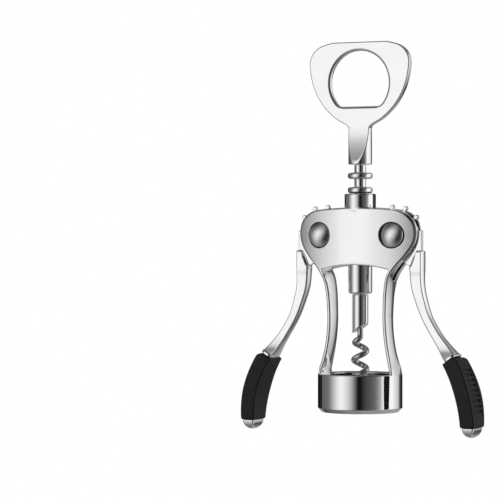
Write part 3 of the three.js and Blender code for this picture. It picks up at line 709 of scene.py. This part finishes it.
# Darkest and lightest tone, least and greatest roughness, and how the marks are stretched.
STEELS = {
    "shaft_steel": (0.6, 0.66, 0.08, 0.16, (1, 1, 0.2)),
    "worm_steel": (0.58, 0.66, 0.1, 0.22, (0.3, 0.3, 1)),
    "pin_steel": (0.86, 0.93, 0.19, 0.26, (1, 0.2, 1)),
}
LOOKS = {slot: plated(slot, satin) for slot, satin in SATIN.items()}
LOOKS.update({slot: steel(slot, *values) for slot, values in STEELS.items()})
LOOKS["grip_black"] = moulded("grip_black")

# ---------------- frame casting


def frame_outline():
    """Right edge of the head and posts, closed far off on the left."""
    third = (WAIST_Z - BELL_HEIGHT) / 3
    foot = bezier_line(
        (BELL_RADIUS, BELL_HEIGHT), (BELL_RADIUS - FOOT_FLARE, BELL_HEIGHT + third),
        (WAIST_HALF, WAIST_Z - third), (WAIST_HALF, WAIST_Z), 20,
    )
    head = [(PIVOT_X + x, PIVOT_Z + z) for x, z in CHEEK_EDGE]
    upper = smooth_line([(WAIST_HALF, WAIST_Z), *head, (0, HEAD_TOP_Z)], 110)
    foot_z = BELL_HEIGHT - FOOT_OVERLAP
    return np.concatenate([[(BELL_RADIUS, foot_z)], foot, upper, [(-FAR, HEAD_TOP_Z), (-FAR, foot_z)]])


def window_outline(edge):
    """Right edge of the gap between the posts, closed far off on the left."""
    arch_z = HEAD_BOTTOM_Z - HEAD_ARCH_RISE
    on_post = (edge[:, 1] > BELL_HEIGHT) & (edge[:, 1] < arch_z - 1) & (edge[:, 0] > 0)
    inner = edge[on_post] - (POST_THICKNESS, 0)
    corner_x = inner[-1, 0]
    foot = [(inner[0, 0], -5)]
    arch = smooth_line([
        (corner_x + 0.3, arch_z - 0.4), (corner_x - 1.2, arch_z + 0.1),
        (corner_x / 2, HEAD_BOTTOM_Z - HEAD_ARCH_RISE / 4), (0, HEAD_BOTTOM_Z),
    ], 30)
    return np.concatenate([foot, inner, arch, [(-FAR, HEAD_BOTTOM_Z), (-FAR, -5)]])


def slot_outline(edge):
    """Right edge of the slot for the gear hubs, which runs out on the post's outer face."""
    outer = edge[(edge[:, 1] > RUNOUT_Z) & (edge[:, 1] < SLOT_FLOOR_Z) & (edge[:, 0] > 0)]
    runout = outer[::-1] - (RUNOUT_DEPTH, 0)
    low = HEAD_BOTTOM_Z - HEAD_ARCH_RISE - 1
    start = [(-FAR, low), (SLOT_OPEN_X, low), (SLOT_OPEN_X, SLOT_FLOOR_Z), (runout[0, 0], SLOT_FLOOR_Z)]
    end = [(FAR, RUNOUT_Z), (FAR, 2 * FAR), (-FAR, 2 * FAR)]
    return np.concatenate([start, runout, end])


RIGHT_EDGE = frame_outline()
FRAME_CORNERS = ((-1, BELL_HEIGHT - 4), (34, 106))
CASTING = Outline(RIGHT_EDGE, *FRAME_CORNERS)
WINDOW = Outline(window_outline(RIGHT_EDGE), *FRAME_CORNERS)
SLOT = Outline(slot_outline(RIGHT_EDGE), *FRAME_CORNERS)


def head_bow(x, y):
    """Distance to the head's bowed front and back faces."""
    curl = HEAD_CURL * np.maximum(np.abs(x) - HEAD_CURL_X, 0) ** 2
    return np.hypot(x, np.abs(y) + HEAD_BOW_RADIUS - HEAD_HALF) - HEAD_BOW_RADIUS + curl


def casting(x, y, z):
    """Head, collar and posts; the posts' feet go into the bell's wall."""
    across, deep = np.abs(x), np.abs(y)
    around = np.hypot(x, y)
    swell = np.minimum(deep / half_width(POST_DEPTHS, z)[0], 1) ** 2 - 1
    grown = rise(z, (BELL_HEIGHT, BELL_HEIGHT + FOOT_GROWTH))
    outer = CASTING(across, z) + OUTER_BULGE * swell * grown
    inner = INNER_BULGE * swell - WINDOW(across, z)

    front = both(head_bow(x, y), slab(y, POST_DEPTHS, z), FACE_ROUNDING)
    at_end = rise(across, HEAD_END_X) * rise(z, HEAD_END_Z)
    body = bevelled(front, outer, blend(at_end, OUTER_BEVEL, HEAD_END_BEVEL), EDGE_ROUNDING)
    hidden = np.maximum(BELL_HEIGHT - BELL_ROUNDING - z, 0)
    on_bell = np.minimum(around - BELL_RADIUS + hidden, (WAIST_Z - z) * FOOT_LIMIT_SLOPE)
    body = both(body, on_bell, SOFT_ROUNDING)
    inner_bevel = INNER_BEVEL * np.maximum(rise(z, ARCH_BEVEL_Z), ARCH_BEVEL_SHARE)
    body = bevelled(body, inner, inner_bevel, EDGE_ROUNDING)

    rim = both(around - HEAD_HALF, z - COLLAR_TOP_Z, SOFT_ROUNDING)
    body = either(body, both(rim, COLLAR_FOOT_Z - z, FACE_ROUNDING), FACE_ROUNDING)
    bore = both(around - BORE_RADIUS, BORE_BOTTOM_Z - z, 0.1)
    body = without(body, bore, BORE_ROUNDING)
    slot = both(SLOT(across, z), deep - SLOT_HALF, EDGE_ROUNDING)
    slot = both(slot, z - HEAD_TOP_Z, EDGE_ROUNDING)
    body = without(body, slot, FACE_ROUNDING)

    from_pivot = np.hypot(across - PIVOT_X, z - PIVOT_Z)
    recess = both(from_pivot - RECESS_RADIUS, RECESS_FLOOR_Y - deep, EDGE_ROUNDING)
    recess = np.minimum(recess, from_pivot - PIN_HOLE_RADIUS)
    return without(body, recess, EDGE_ROUNDING)


def painted_shade_share(points):
    """Share of painted shade at each point: how far it lies in the slot or in the recesses round the
    pins, from nought to one.
    """
    x, y, z = points.T
    from_pivot = np.hypot(np.abs(x) - PIVOT_X, z - PIVOT_Z)
    in_recess = np.minimum(RECESS_RADIUS + RECESS_SHADE_REACH - from_pivot, -head_bow(x, y) - RECESS_LIP)
    in_slot = np.minimum(SLOT_HALF - np.abs(y), -SLOT(np.abs(x), z)) + SHADE_MARGIN
    return np.clip(np.maximum(in_recess, in_slot) / SHADE_MARGIN, 0, 1)


def make_frame():
    """The casting, and the turned bell under it."""
    fine, coarse = FRAME_VOXELS
    end_x, end_z = FRAME_HIGH[0] + 1, FRAME_HIGH[2] + 1
    right = [*NET_X, end_x]
    axes = [
        mixed_axis([-x for x in reversed(right)] + right, [coarse, fine, coarse, fine, coarse]),
        mixed_axis([-NET_Y[1], -NET_Y[0], *NET_Y], [fine, coarse, fine]),
        mixed_axis([BELL_HEIGHT - FOOT_OVERLAP - 1, NET_Z, end_z], [fine, coarse]),
    ]
    surface = skin(casting, axes, fine)
    piece = make_piece("frame_casting", surface, "frame_chrome", "frame", "frame_body")
    # Marks the slot and the pin recesses, where shade is painted into the plate's colour.
    painted_shade = piece.data.attributes.new(SHADE_MARK, "FLOAT", "POINT")
    painted_shade.data.foreach_set("value", painted_shade_share(surface[0]))

    bell = [
        (BELL_MOUTH_RADIUS, 0, 0.4), (BELL_RADIUS - BELL_CHAMFER, 0, 0.4),
        (BELL_RADIUS, BELL_CHAMFER, BELL_ROUNDING), (BELL_RADIUS, BELL_HEIGHT, BELL_ROUNDING),
        (BELL_THROAT_RADIUS, BELL_HEIGHT, 0.5), (BELL_THROAT_RADIUS, BELL_SEAT_Z, FACE_ROUNDING),
        (BELL_MOUTH_RADIUS, BELL_SEAT_Z, FACE_ROUNDING),
    ]
    surface = turned(*rounded_profile(bell), 160)
    make_piece("frame_bell", surface, "frame_chrome", "frame", "frame_body")


# ---------------- pivot pins


def make_pins():
    """Domed heads of the pivot pins, in front and behind."""
    for side, sign in (("left", -1), ("right", 1)):
        for end, facing, node in (("front", -1, "pivot_pin"), ("back", 1, "pin_cap")):
            low, high = node_box(f"{side}_{node}")
            top = abs(low[1]) if facing < 0 else high[1]
            seat = CAP_LOW[1]
            height = (top - seat) * DOME_SHARE
            ball_radius = (DOME_RADIUS ** 2 + height ** 2) / (2 * height)
            angle = np.linspace(math.asin(DOME_RADIUS / ball_radius), 0, 25)
            normals = np.stack([np.sin(angle), np.cos(angle)], 1)
            ball = normals * ball_radius + (0, top - ball_radius)
            rim = [(0, seat, 0), (DOME_RADIUS, seat, DOME_RIM_ROUNDING), (*ball[0], 0)]
            # The rim's last corner is the ball's first point.
            below, below_normals = (line[:-PROFILE_STEPS - 1] for line in rounded_profile(rim))
            spots = np.concatenate([below, ball])
            slopes = np.concatenate([below_normals, normals])
            points, faces, normals = turned_to_y(*turned(spots, slopes, 64), facing)
            surface = (points + (sign * PIVOT_X, 0, PIVOT_Z), faces, normals)
            make_piece(f"{side}_pin_{end}", surface, "pin_steel", "frame", f"{side}_{node}")


# ---------------- rack and screw


def make_rack():
    """Barrel below, and rings above that the gear teeth run in."""
    bore = SHAFT_RADIUS + CLEARANCE
    profile = [
        (bore, RACK_BOTTOM_Z, EDGE_ROUNDING), (BARREL_RADIUS, RACK_BOTTOM_Z, RING_ROUNDING),
        (BARREL_RADIUS, BARREL_TOP_Z, SOFT_ROUNDING), (RACK_CORE_RADIUS, BARREL_TOP_Z, FACE_ROUNDING),
    ]
    top_ring_z = RACK_TOP_Z + RING_LIFT + RING_THICKNESS / 2 - RACK_PITCH
    for i in reversed(range(RING_COUNT)):
        low = top_ring_z - i * RACK_PITCH - RING_THICKNESS / 2
        high = low + RING_THICKNESS
        profile += [
            (RACK_CORE_RADIUS, low, FACE_ROUNDING), (RING_RADIUS, low, RING_ROUNDING),
            (RING_RADIUS, high, RING_ROUNDING), (RACK_CORE_RADIUS, high, FACE_ROUNDING),
        ]
    profile += [(RACK_CORE_RADIUS, RACK_TOP_Z, EDGE_ROUNDING), (bore, RACK_TOP_Z, EDGE_ROUNDING)]
    surface = turned(*rounded_profile(profile))
    make_piece("ringed_rack", surface, "spindle_chrome", "rack", "spindle_rack")


def sleeve(x, y, z):
    """Holder of the worm, cut off on a slant at its bottom."""
    around = np.hypot(x, y)
    body = both(around - HOLDER_RADIUS, z - HOLDER_TOP_Z, 0.5)
    body = both(body, HOLDER_BOTTOM_Z - z, EDGE_ROUNDING)
    scarf = (SLEEVE_SLANT_Z + x * SLEEVE_SLOPE - z) / math.hypot(1, SLEEVE_SLOPE)
    bore = around - WORM_WIRE_RADIUS - CLEARANCE
    bore = both(bore, z - HOLDER_BOTTOM_Z - SLEEVE_BORE_DEPTH, 0.1)
    return without(both(body, scarf, 0.35), bore, EDGE_ROUNDING)


def worm_path(count):
    """The worm's middle line from its top down, the wire's radius along it, and the way outwards."""
    z = np.linspace(WORM_TOP_Z, WORM_TIP_Z, count)
    down = np.maximum(HOLDER_BOTTOM_Z - z, 0)
    opened = np.clip(down / (WORM_PITCH * WORM_OPENING), 0, 1)
    radius = (WORM_OUTER_RADIUS - WORM_WIRE_RADIUS) * opened ** 2 * (3 - 2 * opened)
    angle = -down / WORM_PITCH * 2 * math.pi
    outwards = np.stack([np.cos(angle), np.sin(angle), 0 * z], 1)
    path = outwards * radius[:, None] + np.stack([0 * z, 0 * z, z], 1)
    taper = np.clip((z - WORM_TIP_Z) / WORM_POINT_LENGTH, 0.04, 1)
    return path, WORM_WIRE_RADIUS * np.sin(taper * math.pi / 2), outwards


def make_screw():
    """Shaft, the sleeve that holds the worm, and the worm."""
    bottom, top = SHAFT_LOW[2], SHAFT_HIGH[2]
    rod = [
        (0, bottom, 0), (SHAFT_RADIUS, bottom, FACE_ROUNDING),
        (SHAFT_RADIUS, top, FACE_ROUNDING), (0, top, 0),
    ]
    surface = turned(*rounded_profile(rod), 48)
    make_piece("shaft_rod", surface, "shaft_steel", "screw", "screw_shaft")

    surface = node_skin(sleeve, "worm_holder", FINE_VOXEL)
    make_piece("worm_sleeve", surface, "spindle_chrome", "screw", "worm_holder")

    wire = swept(*worm_path(WORM_STEPS))
    make_piece("worm_wire", wire, "worm_steel", "screw", "worm")


# ---------------- opener handle

OPENER_CORNERS = [
    PLATE_BOTTOM, *smooth_line(OPENER_EDGE, 90), (-FAR, OPENER_TOP_Z), (-FAR, PLATE_BOTTOM[1]),
]
OPENER_SHEET = Outline(OPENER_CORNERS, (-1, 112), (30, 177))


def opener(x, y, z):
    """Plate with its eye, and the neck that the shaft sits in."""
    across, deep = np.abs(x), np.abs(y)
    around = np.hypot(x, y)
    sheet = both(OPENER_SHEET(across, z), deep - OPENER_HALF, SOFT_ROUNDING)
    eye = both(np.hypot(x, z - EYE_Z) - EYE_RADIUS, LIP_Z - z, 1.0)
    sheet = without(sheet, eye, EYE_ROUNDING)

    # The neck's flat faces lean in more and more on the way down, from the plate to its full round.
    height = SCARF_TOP_Z - SCARF_BOTTOM_Z
    share = np.clip((SCARF_TOP_Z - z) / height, 0, 1.2)
    narrowing = NECK_RADIUS - OPENER_HALF
    lean = SCARF_POWER * narrowing / height * share ** (SCARF_POWER - 1)
    scarf = (deep - OPENER_HALF - narrowing * share ** SCARF_POWER) / np.hypot(1, lean)
    neck = both(around - NECK_RADIUS, NECK_BOTTOM_Z - z, 0.35)
    neck = both(both(neck, scarf, FACE_ROUNDING), z - SCARF_TOP_Z, 0.05)
    socket = both(around - SHAFT_RADIUS - CLEARANCE, z - SHAFT_HIGH[2] - CLEARANCE, 0.1)
    return without(np.minimum(sheet, neck), socket, EDGE_ROUNDING)


def make_opener():
    surface = node_skin(opener, "opener_handle", FINE_VOXEL)
    make_piece("opener_plate", surface, "handle_chrome", "screw", "opener_handle")


# ---------------- levers

BEND_CENTRE = (
    GRIP_TOP[0] - GRIP_BEND_RADIUS * math.cos(GRIP_TILT),
    GRIP_TOP[1] - GRIP_BEND_RADIUS * math.sin(GRIP_TILT),
)
GRIP_LENGTH = GRIP_BEND_RADIUS * GRIP_TILT
LEVER_CORNERS = ((-16, -66), (34, 18))
ARM = Outline(band_outline([*ARM_LINE, GRIP_TOP], ARM_WIDTHS, 70), *LEVER_CORNERS)
ARM_MIDDLE = np.array([(ARM_LINE[0][0], -7), *ARM_LINE, GRIP_TOP])
SHOULDER = Outline(ARM_SHOULDER, *LEVER_CORNERS)
HEEL = Outline(HUB_HEEL, *LEVER_CORNERS)


def at_grip(x, z, tilt):
    """Distance out from the grip's arc and distance up along it, as seen where it has this tilt."""
    across = x - BEND_CENTRE[0] - GRIP_BEND_RADIUS * math.cos(tilt)
    up = z - BEND_CENTRE[1] - GRIP_BEND_RADIUS * math.sin(tilt)
    outwards = across * math.cos(tilt) + up * math.sin(tilt)
    return outwards, up * math.cos(tilt) - across * math.sin(tilt)


def lever(x, y, z):
    """Gear hub with its teeth, and the arm down to the tang in the grip."""
    x, z = x - PIVOT_X, z - PIVOT_Z
    deep = np.abs(y)
    from_pivot = np.hypot(x, z)
    hub = either(from_pivot - HUB_RADIUS, HEEL(x, z), EDGE_ROUNDING)
    for i in range(TOOTH_COUNT):
        angle = math.radians(180 - FIRST_TOOTH_ANGLE - i * TOOTH_ANGLE)
        # Distances along and across the tooth, from the pivot.
        along = x * math.cos(angle) + z * math.sin(angle)
        across = z * math.cos(angle) - x * math.sin(angle)
        knob = np.hypot(along - TOOTH_CIRCLE_RADIUS, across) - TOOTH_RADIUS
        stem = both(np.abs(across) - TOOTH_STEM_HALF, layer(along, *TOOTH_STEM_REACH), 0.1)
        hub = either(hub, either(knob, stem, 0.25), 0.35)
    hub = both(hub, deep - HUB_HALF, 0.35)

    side = slab(y, ARM_DEPTHS, z)
    swell = np.minimum(deep / half_width(ARM_DEPTHS, z)[0], 1) ** 2 - 1
    middle = np.interp(-z, -ARM_MIDDLE[:, 1], ARM_MIDDLE[:, 0])
    inner_share = np.clip((middle - x) / ARM_TURN + 0.5, 0, 1)
    edge = np.minimum(ARM(x, z), SHOULDER(x, z))
    edge = edge + blend(inner_share, ARM_OUTER_BULGE, ARM_INNER_BULGE) * swell
    inner_bevel = blend(rise(z, SHOULDER_Z), ARM_INNER_BEVEL, SHOULDER_BEVEL)
    arm = bevelled(side, edge, blend(inner_share, ARM_OUTER_BEVEL, inner_bevel), EDGE_ROUNDING)
    outwards, up = at_grip(x, z, GRIP_TILT)
    arm = both(arm, COLLAR_HEIGHT + 2 * TRIM_GAP - up, 0.15)
    tang = both(np.abs(outwards) - TANG_HALF[0], deep - TANG_HALF[1], FACE_ROUNDING)
    tang = both(tang, layer(up, *TANG_REACH), FACE_ROUNDING)
    body = np.minimum(either(hub, arm, EDGE_ROUNDING), tang)
    return without(body, from_pivot - PIN_HOLE_RADIUS, EDGE_ROUNDING)


def collar(x, y, z):
    """Oval ring between the arm and the grip."""
    outwards, up = at_grip(x - PIVOT_X, z - PIVOT_Z, GRIP_TILT)
    rim = both(np.abs(outwards) - COLLAR_HALF[0], np.abs(y) - COLLAR_HALF[1], COLLAR_CORNER)
    return both(rim, layer(up, TRIM_GAP, TRIM_GAP + COLLAR_HEIGHT), FACE_ROUNDING)


def grip(x, y, z):
    """Curved grip, with a sunk ribbed panel on its outer side."""
    x, z = x - PIVOT_X, z - PIVOT_Z
    deep = np.abs(y)
    across, up = x - BEND_CENTRE[0], z - BEND_CENTRE[1]
    outwards = np.hypot(across, up) - GRIP_BEND_RADIUS
    along = np.arctan2(up, across) * GRIP_BEND_RADIUS
    body = both(np.abs(outwards) - GRIP_HALF, slab(y, GRIP_DEPTHS, z), GRIP_SIDE_ROUNDING)
    body = both(body, along - GRIP_LENGTH, GRIP_TOP_ROUNDING)
    body = both(body, -along, GRIP_FOOT_ROUNDING)
    slant = (outwards - GRIP_SLANT_START) * GRIP_SLANT[0] + (along - GRIP_LENGTH) * GRIP_SLANT[1]
    body = both(body, slant, GRIP_TOP_ROUNDING)

    middle = GRIP_LENGTH / 2
    panel_length = RIB_PITCH * (RIB_COUNT + PANEL_MARGIN)
    panel = both(deep - PANEL_HALF, np.abs(along - middle) - panel_length / 2, GRIP_SIDE_ROUNDING)
    panel = both(panel, GRIP_HALF - PANEL_DEPTH - outwards, RIB_ROUNDING)
    body = without(body, panel, RIB_ROUNDING)
    first = middle - RIB_PITCH * (RIB_COUNT - 1) / 2
    nearest = np.clip(np.round((along - first) / RIB_PITCH), 0, RIB_COUNT - 1)
    from_groove = np.abs(along - first - nearest * RIB_PITCH)
    groove = both(from_groove - GROOVE_HALF[0], deep - GROOVE_HALF[1], FACE_ROUNDING)
    groove = both(groove, GRIP_HALF - GROOVE_DEPTH - outwards, EDGE_ROUNDING)
    return without(body, groove, RIB_ROUNDING)


def tip(x, y, z):
    """Bright dome on the grip's lower end."""
    outwards, up = at_grip(x - PIVOT_X, z - PIVOT_Z, 0)
    thick = ellipse(outwards, up, TIP_HALF[0], TIP_HEIGHT)
    wide = ellipse(y, up, TIP_HALF[1], TIP_HEIGHT)
    return both(both(thick, wide, 0.8), up + TRIM_GAP, 0.25)


def make_levers():
    parts = [
        ("arm", "lever", lever, "lever_chrome", FINEST_VOXEL),
        ("trim_ring", "grip_collar", collar, "trim_chrome", FINE_VOXEL),
        ("handgrip", "grip", grip, "grip_black", FINE_VOXEL),
        ("end_dome", "end_cap", tip, "trim_chrome", FINE_VOXEL),
    ]
    for name, node, distance, slot, voxel in parts:
        surface = node_skin(distance, f"right_{node}", voxel)
        for side, sided in (("right", surface), ("left", mirrored(*surface))):
            make_piece(f"{side}_{name}", sided, slot, f"{side}_lever", f"{side}_{node}")


# ---------------- studio

CAMERA_AZIMUTH = 26.5  # to the right of the front face's own line
CAMERA_DISTANCE = 1.22
CAMERA_HEIGHT = 0.0876
CAMERA_LENS = 187
CAMERA_YAW = 2.43  # to the left of the spindle axis, which stands right of the middle
CAMERA_PITCH = -0.55
FLOOR_Z = -0.29  # where the bottle under the bell would stand
FLOOR_HALF = 20
FLOOR_TONE = (0.93, 0.93, 0.93, 1)
FLOOR_FADE = (0.3, 0.9)  # between these distances shading passes to plain white
LAMP_PLACE = (-0.35, -0.9, 0.95)
LAMP_AIM = (0, 0, 0.08)
LAMP_SIZE = 0.8
LAMP_ENERGY = 3.5


def make_camera():
    data = bpy.data.cameras.new("camera")
    data.lens = CAMERA_LENS
    data.sensor_width = 36
    camera = add_object("camera", data)
    azimuth = math.radians(CAMERA_AZIMUTH)
    east, north = math.sin(azimuth), -math.cos(azimuth)
    camera.location = (CAMERA_DISTANCE * east, CAMERA_DISTANCE * north, CAMERA_HEIGHT)
    camera.rotation_euler = (math.radians(90 + CAMERA_PITCH), 0, azimuth + math.radians(CAMERA_YAW))
    bpy.context.scene.camera = camera


# Brightness of the studio, by the angle to the right of the camera's line.
STUDIO_ROUND = [
    (-180, 0.003), (-140, 0.003), (-133, 0.11), (-108, 0.14), (-97, 0.17), (-89, 0.24), (-82, 0.39),
    (-75, 0.55), (-68, 0.7), (-58, 0.96), (-50, 1.0), (-42, 0.86), (-35, 0.74), (-27, 0.56),
    (-21, 0.4), (-15, 0.2), (-10, 0.1), (-5, 0.006), (3, 0.008), (17, 0.06), (30, 0.09), (42, 0.14),
    (51, 0.26), (58, 0.4), (69, 1.0), (100, 1.0), (110, 0.8), (122, 0.64), (131, 0.5), (137, 0.1),
    (150, 0.02), (180, 0.003),
]
# How much of it is left by the angle above the horizon, and the plain light added to it.
STUDIO_HEIGHT = [
    (-90, 0), (-62, 0), (-35, 0.45), (-12, 0.85), (-4, 1.0), (18, 1.0), (30, 0.6), (42, 0.36),
    (65, 0), (90, 0),
]
STUDIO_PLAIN = [
    (-90, 0.24), (-70, 0.22), (-57, 0.15), (-38, 0.06), (-25, 0), (45, 0), (65, 0.08), (90, 0.05),
]
STUDIO_LEAN = 0.4  # degrees that the lights lean round for each degree of height
STUDIO_DIFFUSE = 0.85  # level for diffuse rays; the camera sees plain white
# Light from behind, by angle to the right and by height; dark at the camera's level.
REAR_ROUND = [(-180, 0.42), (-158, 0.38), (-140, 0), (140, 0), (158, 0.38), (180, 0.42)]
REAR_HEIGHT = [
    (-90, 0), (-60, 0.5), (-30, 0.8), (-11, 1), (-6.5, 0), (6.5, 0), (11, 1), (50, 0.7), (90, 0),
]


def make_world():
    """White for the camera, plain for diffuse light, and soft boxes and dark flags for gloss."""
    world = bpy.data.worlds.new("studio")
    bpy.context.scene.world = world
    nodes = Nodes(world)
    nodes.tree.nodes.clear()

    def by_angle(share, stops):
        """Brightness by angle, from the share of the way from the first stop's to the last one's."""
        low, high = stops[0][0], stops[-1][0]
        places = [((angle - low) / (high - low), (level,) * 3) for angle, level in stops]
        return nodes.ramp(share, places)

    split = nodes.add("SeparateXYZ")
    nodes.link(nodes.add("TexCoord").outputs["Generated"], split.inputs["Vector"])
    east, north, up = (split.outputs[axis] for axis in "XYZ")
    # Angle round Z from the front face's own line, turned to start at the camera's.
    heading = nodes.math("ARCTAN2", east, nodes.math("MULTIPLY", north, -1.0))
    turned_by = nodes.math("SUBTRACT", heading, math.radians(CAMERA_AZIMUTH))
    height = nodes.math("ARCSINE", up)
    leaned = nodes.math("SUBTRACT", turned_by, nodes.math("MULTIPLY", height, STUDIO_LEAN))
    share = nodes.math("ADD", nodes.math("DIVIDE", leaned, 2 * math.pi), 1.5)
    share = nodes.math("FRACT", share)
    lift = nodes.math("ADD", nodes.math("DIVIDE", height, math.pi), 0.5)
    around = by_angle(share, STUDIO_ROUND)
    lights = nodes.math("MULTIPLY", around, by_angle(lift, STUDIO_HEIGHT))
    behind = by_angle(share, REAR_ROUND)
    rear = nodes.math("MULTIPLY", behind, by_angle(lift, REAR_HEIGHT))
    lights = nodes.math("ADD", nodes.math("ADD", lights, by_angle(lift, STUDIO_PLAIN)), rear)

    rays = nodes.add("LightPath").outputs
    gloss = nodes.math("MULTIPLY", lights, rays["Is Glossy Ray"])
    plain = nodes.math("SUBTRACT", 1.0, rays["Is Glossy Ray"])
    plain = nodes.math("MULTIPLY", plain, STUDIO_DIFFUSE)
    seen = nodes.math("MULTIPLY", rays["Is Camera Ray"], 1 - STUDIO_DIFFUSE)
    level = nodes.math("ADD", nodes.math("ADD", gloss, plain), seen)
    background = nodes.add("Background")
    background.inputs["Color"].default_value = (1, 1, 1, 1)
    nodes.link(level, background.inputs["Strength"])
    nodes.link(background.outputs["Background"], nodes.add("OutputWorld").inputs["Surface"])


def floor_material():
    """Pale floor: shaded near the object, plain white for the camera further off, clear from below."""
    nodes = Nodes(bpy.data.materials.new("pale_floor"))
    nodes.set("Base Color", FLOOR_TONE)
    nodes.set("Roughness", 0.9)
    nodes.set("Specular IOR Level", 0.0)
    length = nodes.add("VectorMath")
    length.operation = "LENGTH"
    nodes.link(nodes.add("TexCoord").outputs["Object"], length.inputs[0])
    far = nodes.spread(length.outputs["Value"], 0, 1, *FLOOR_FADE)
    shown = nodes.math("MULTIPLY", far, nodes.add("LightPath").outputs["Is Camera Ray"])
    white = nodes.add("Emission").outputs["Emission"]
    above = nodes.mix(shown, nodes.shader.outputs["BSDF"], white)
    clear = nodes.add("BsdfTransparent").outputs["BSDF"]
    underneath = nodes.add("NewGeometry").outputs["Backfacing"]
    output = nodes.tree.nodes["Material Output"]
    nodes.link(nodes.mix(underneath, above, clear), output.inputs["Surface"])
    return nodes.owner


def make_floor():
    mesh = bpy.data.meshes.new("floor")
    corners = [(x * FLOOR_HALF, y * FLOOR_HALF, 0) for x, y in ((-1, -1), (1, -1), (1, 1), (-1, 1))]
    mesh.from_pydata(corners, [], [(0, 1, 2, 3)])
    mesh.materials.append(floor_material())
    floor = add_object("floor", mesh)
    floor.location.z = FLOOR_Z
    floor.visible_glossy = False


def make_lamp():
    """A wide soft lamp, up and to the left of the camera."""
    data = bpy.data.lights.new("soft_lamp", "AREA")
    data.shape = "DISK"
    data.size = LAMP_SIZE
    data.energy = LAMP_ENERGY
    lamp = add_object("soft_lamp", data)
    lamp.location = LAMP_PLACE
    aim = Vector(LAMP_AIM) - lamp.location
    lamp.rotation_euler = aim.to_track_quat("-Z", "Y").to_euler()
    lamp.visible_glossy = False


# ---------------- scene

bpy.context.scene.view_settings.view_transform = "Standard"
make_camera()
make_world()
make_floor()
make_lamp()
make_frame()
make_pins()
make_rack()
make_screw()
make_opener()
make_levers()

bpy.context.view_layer.update()
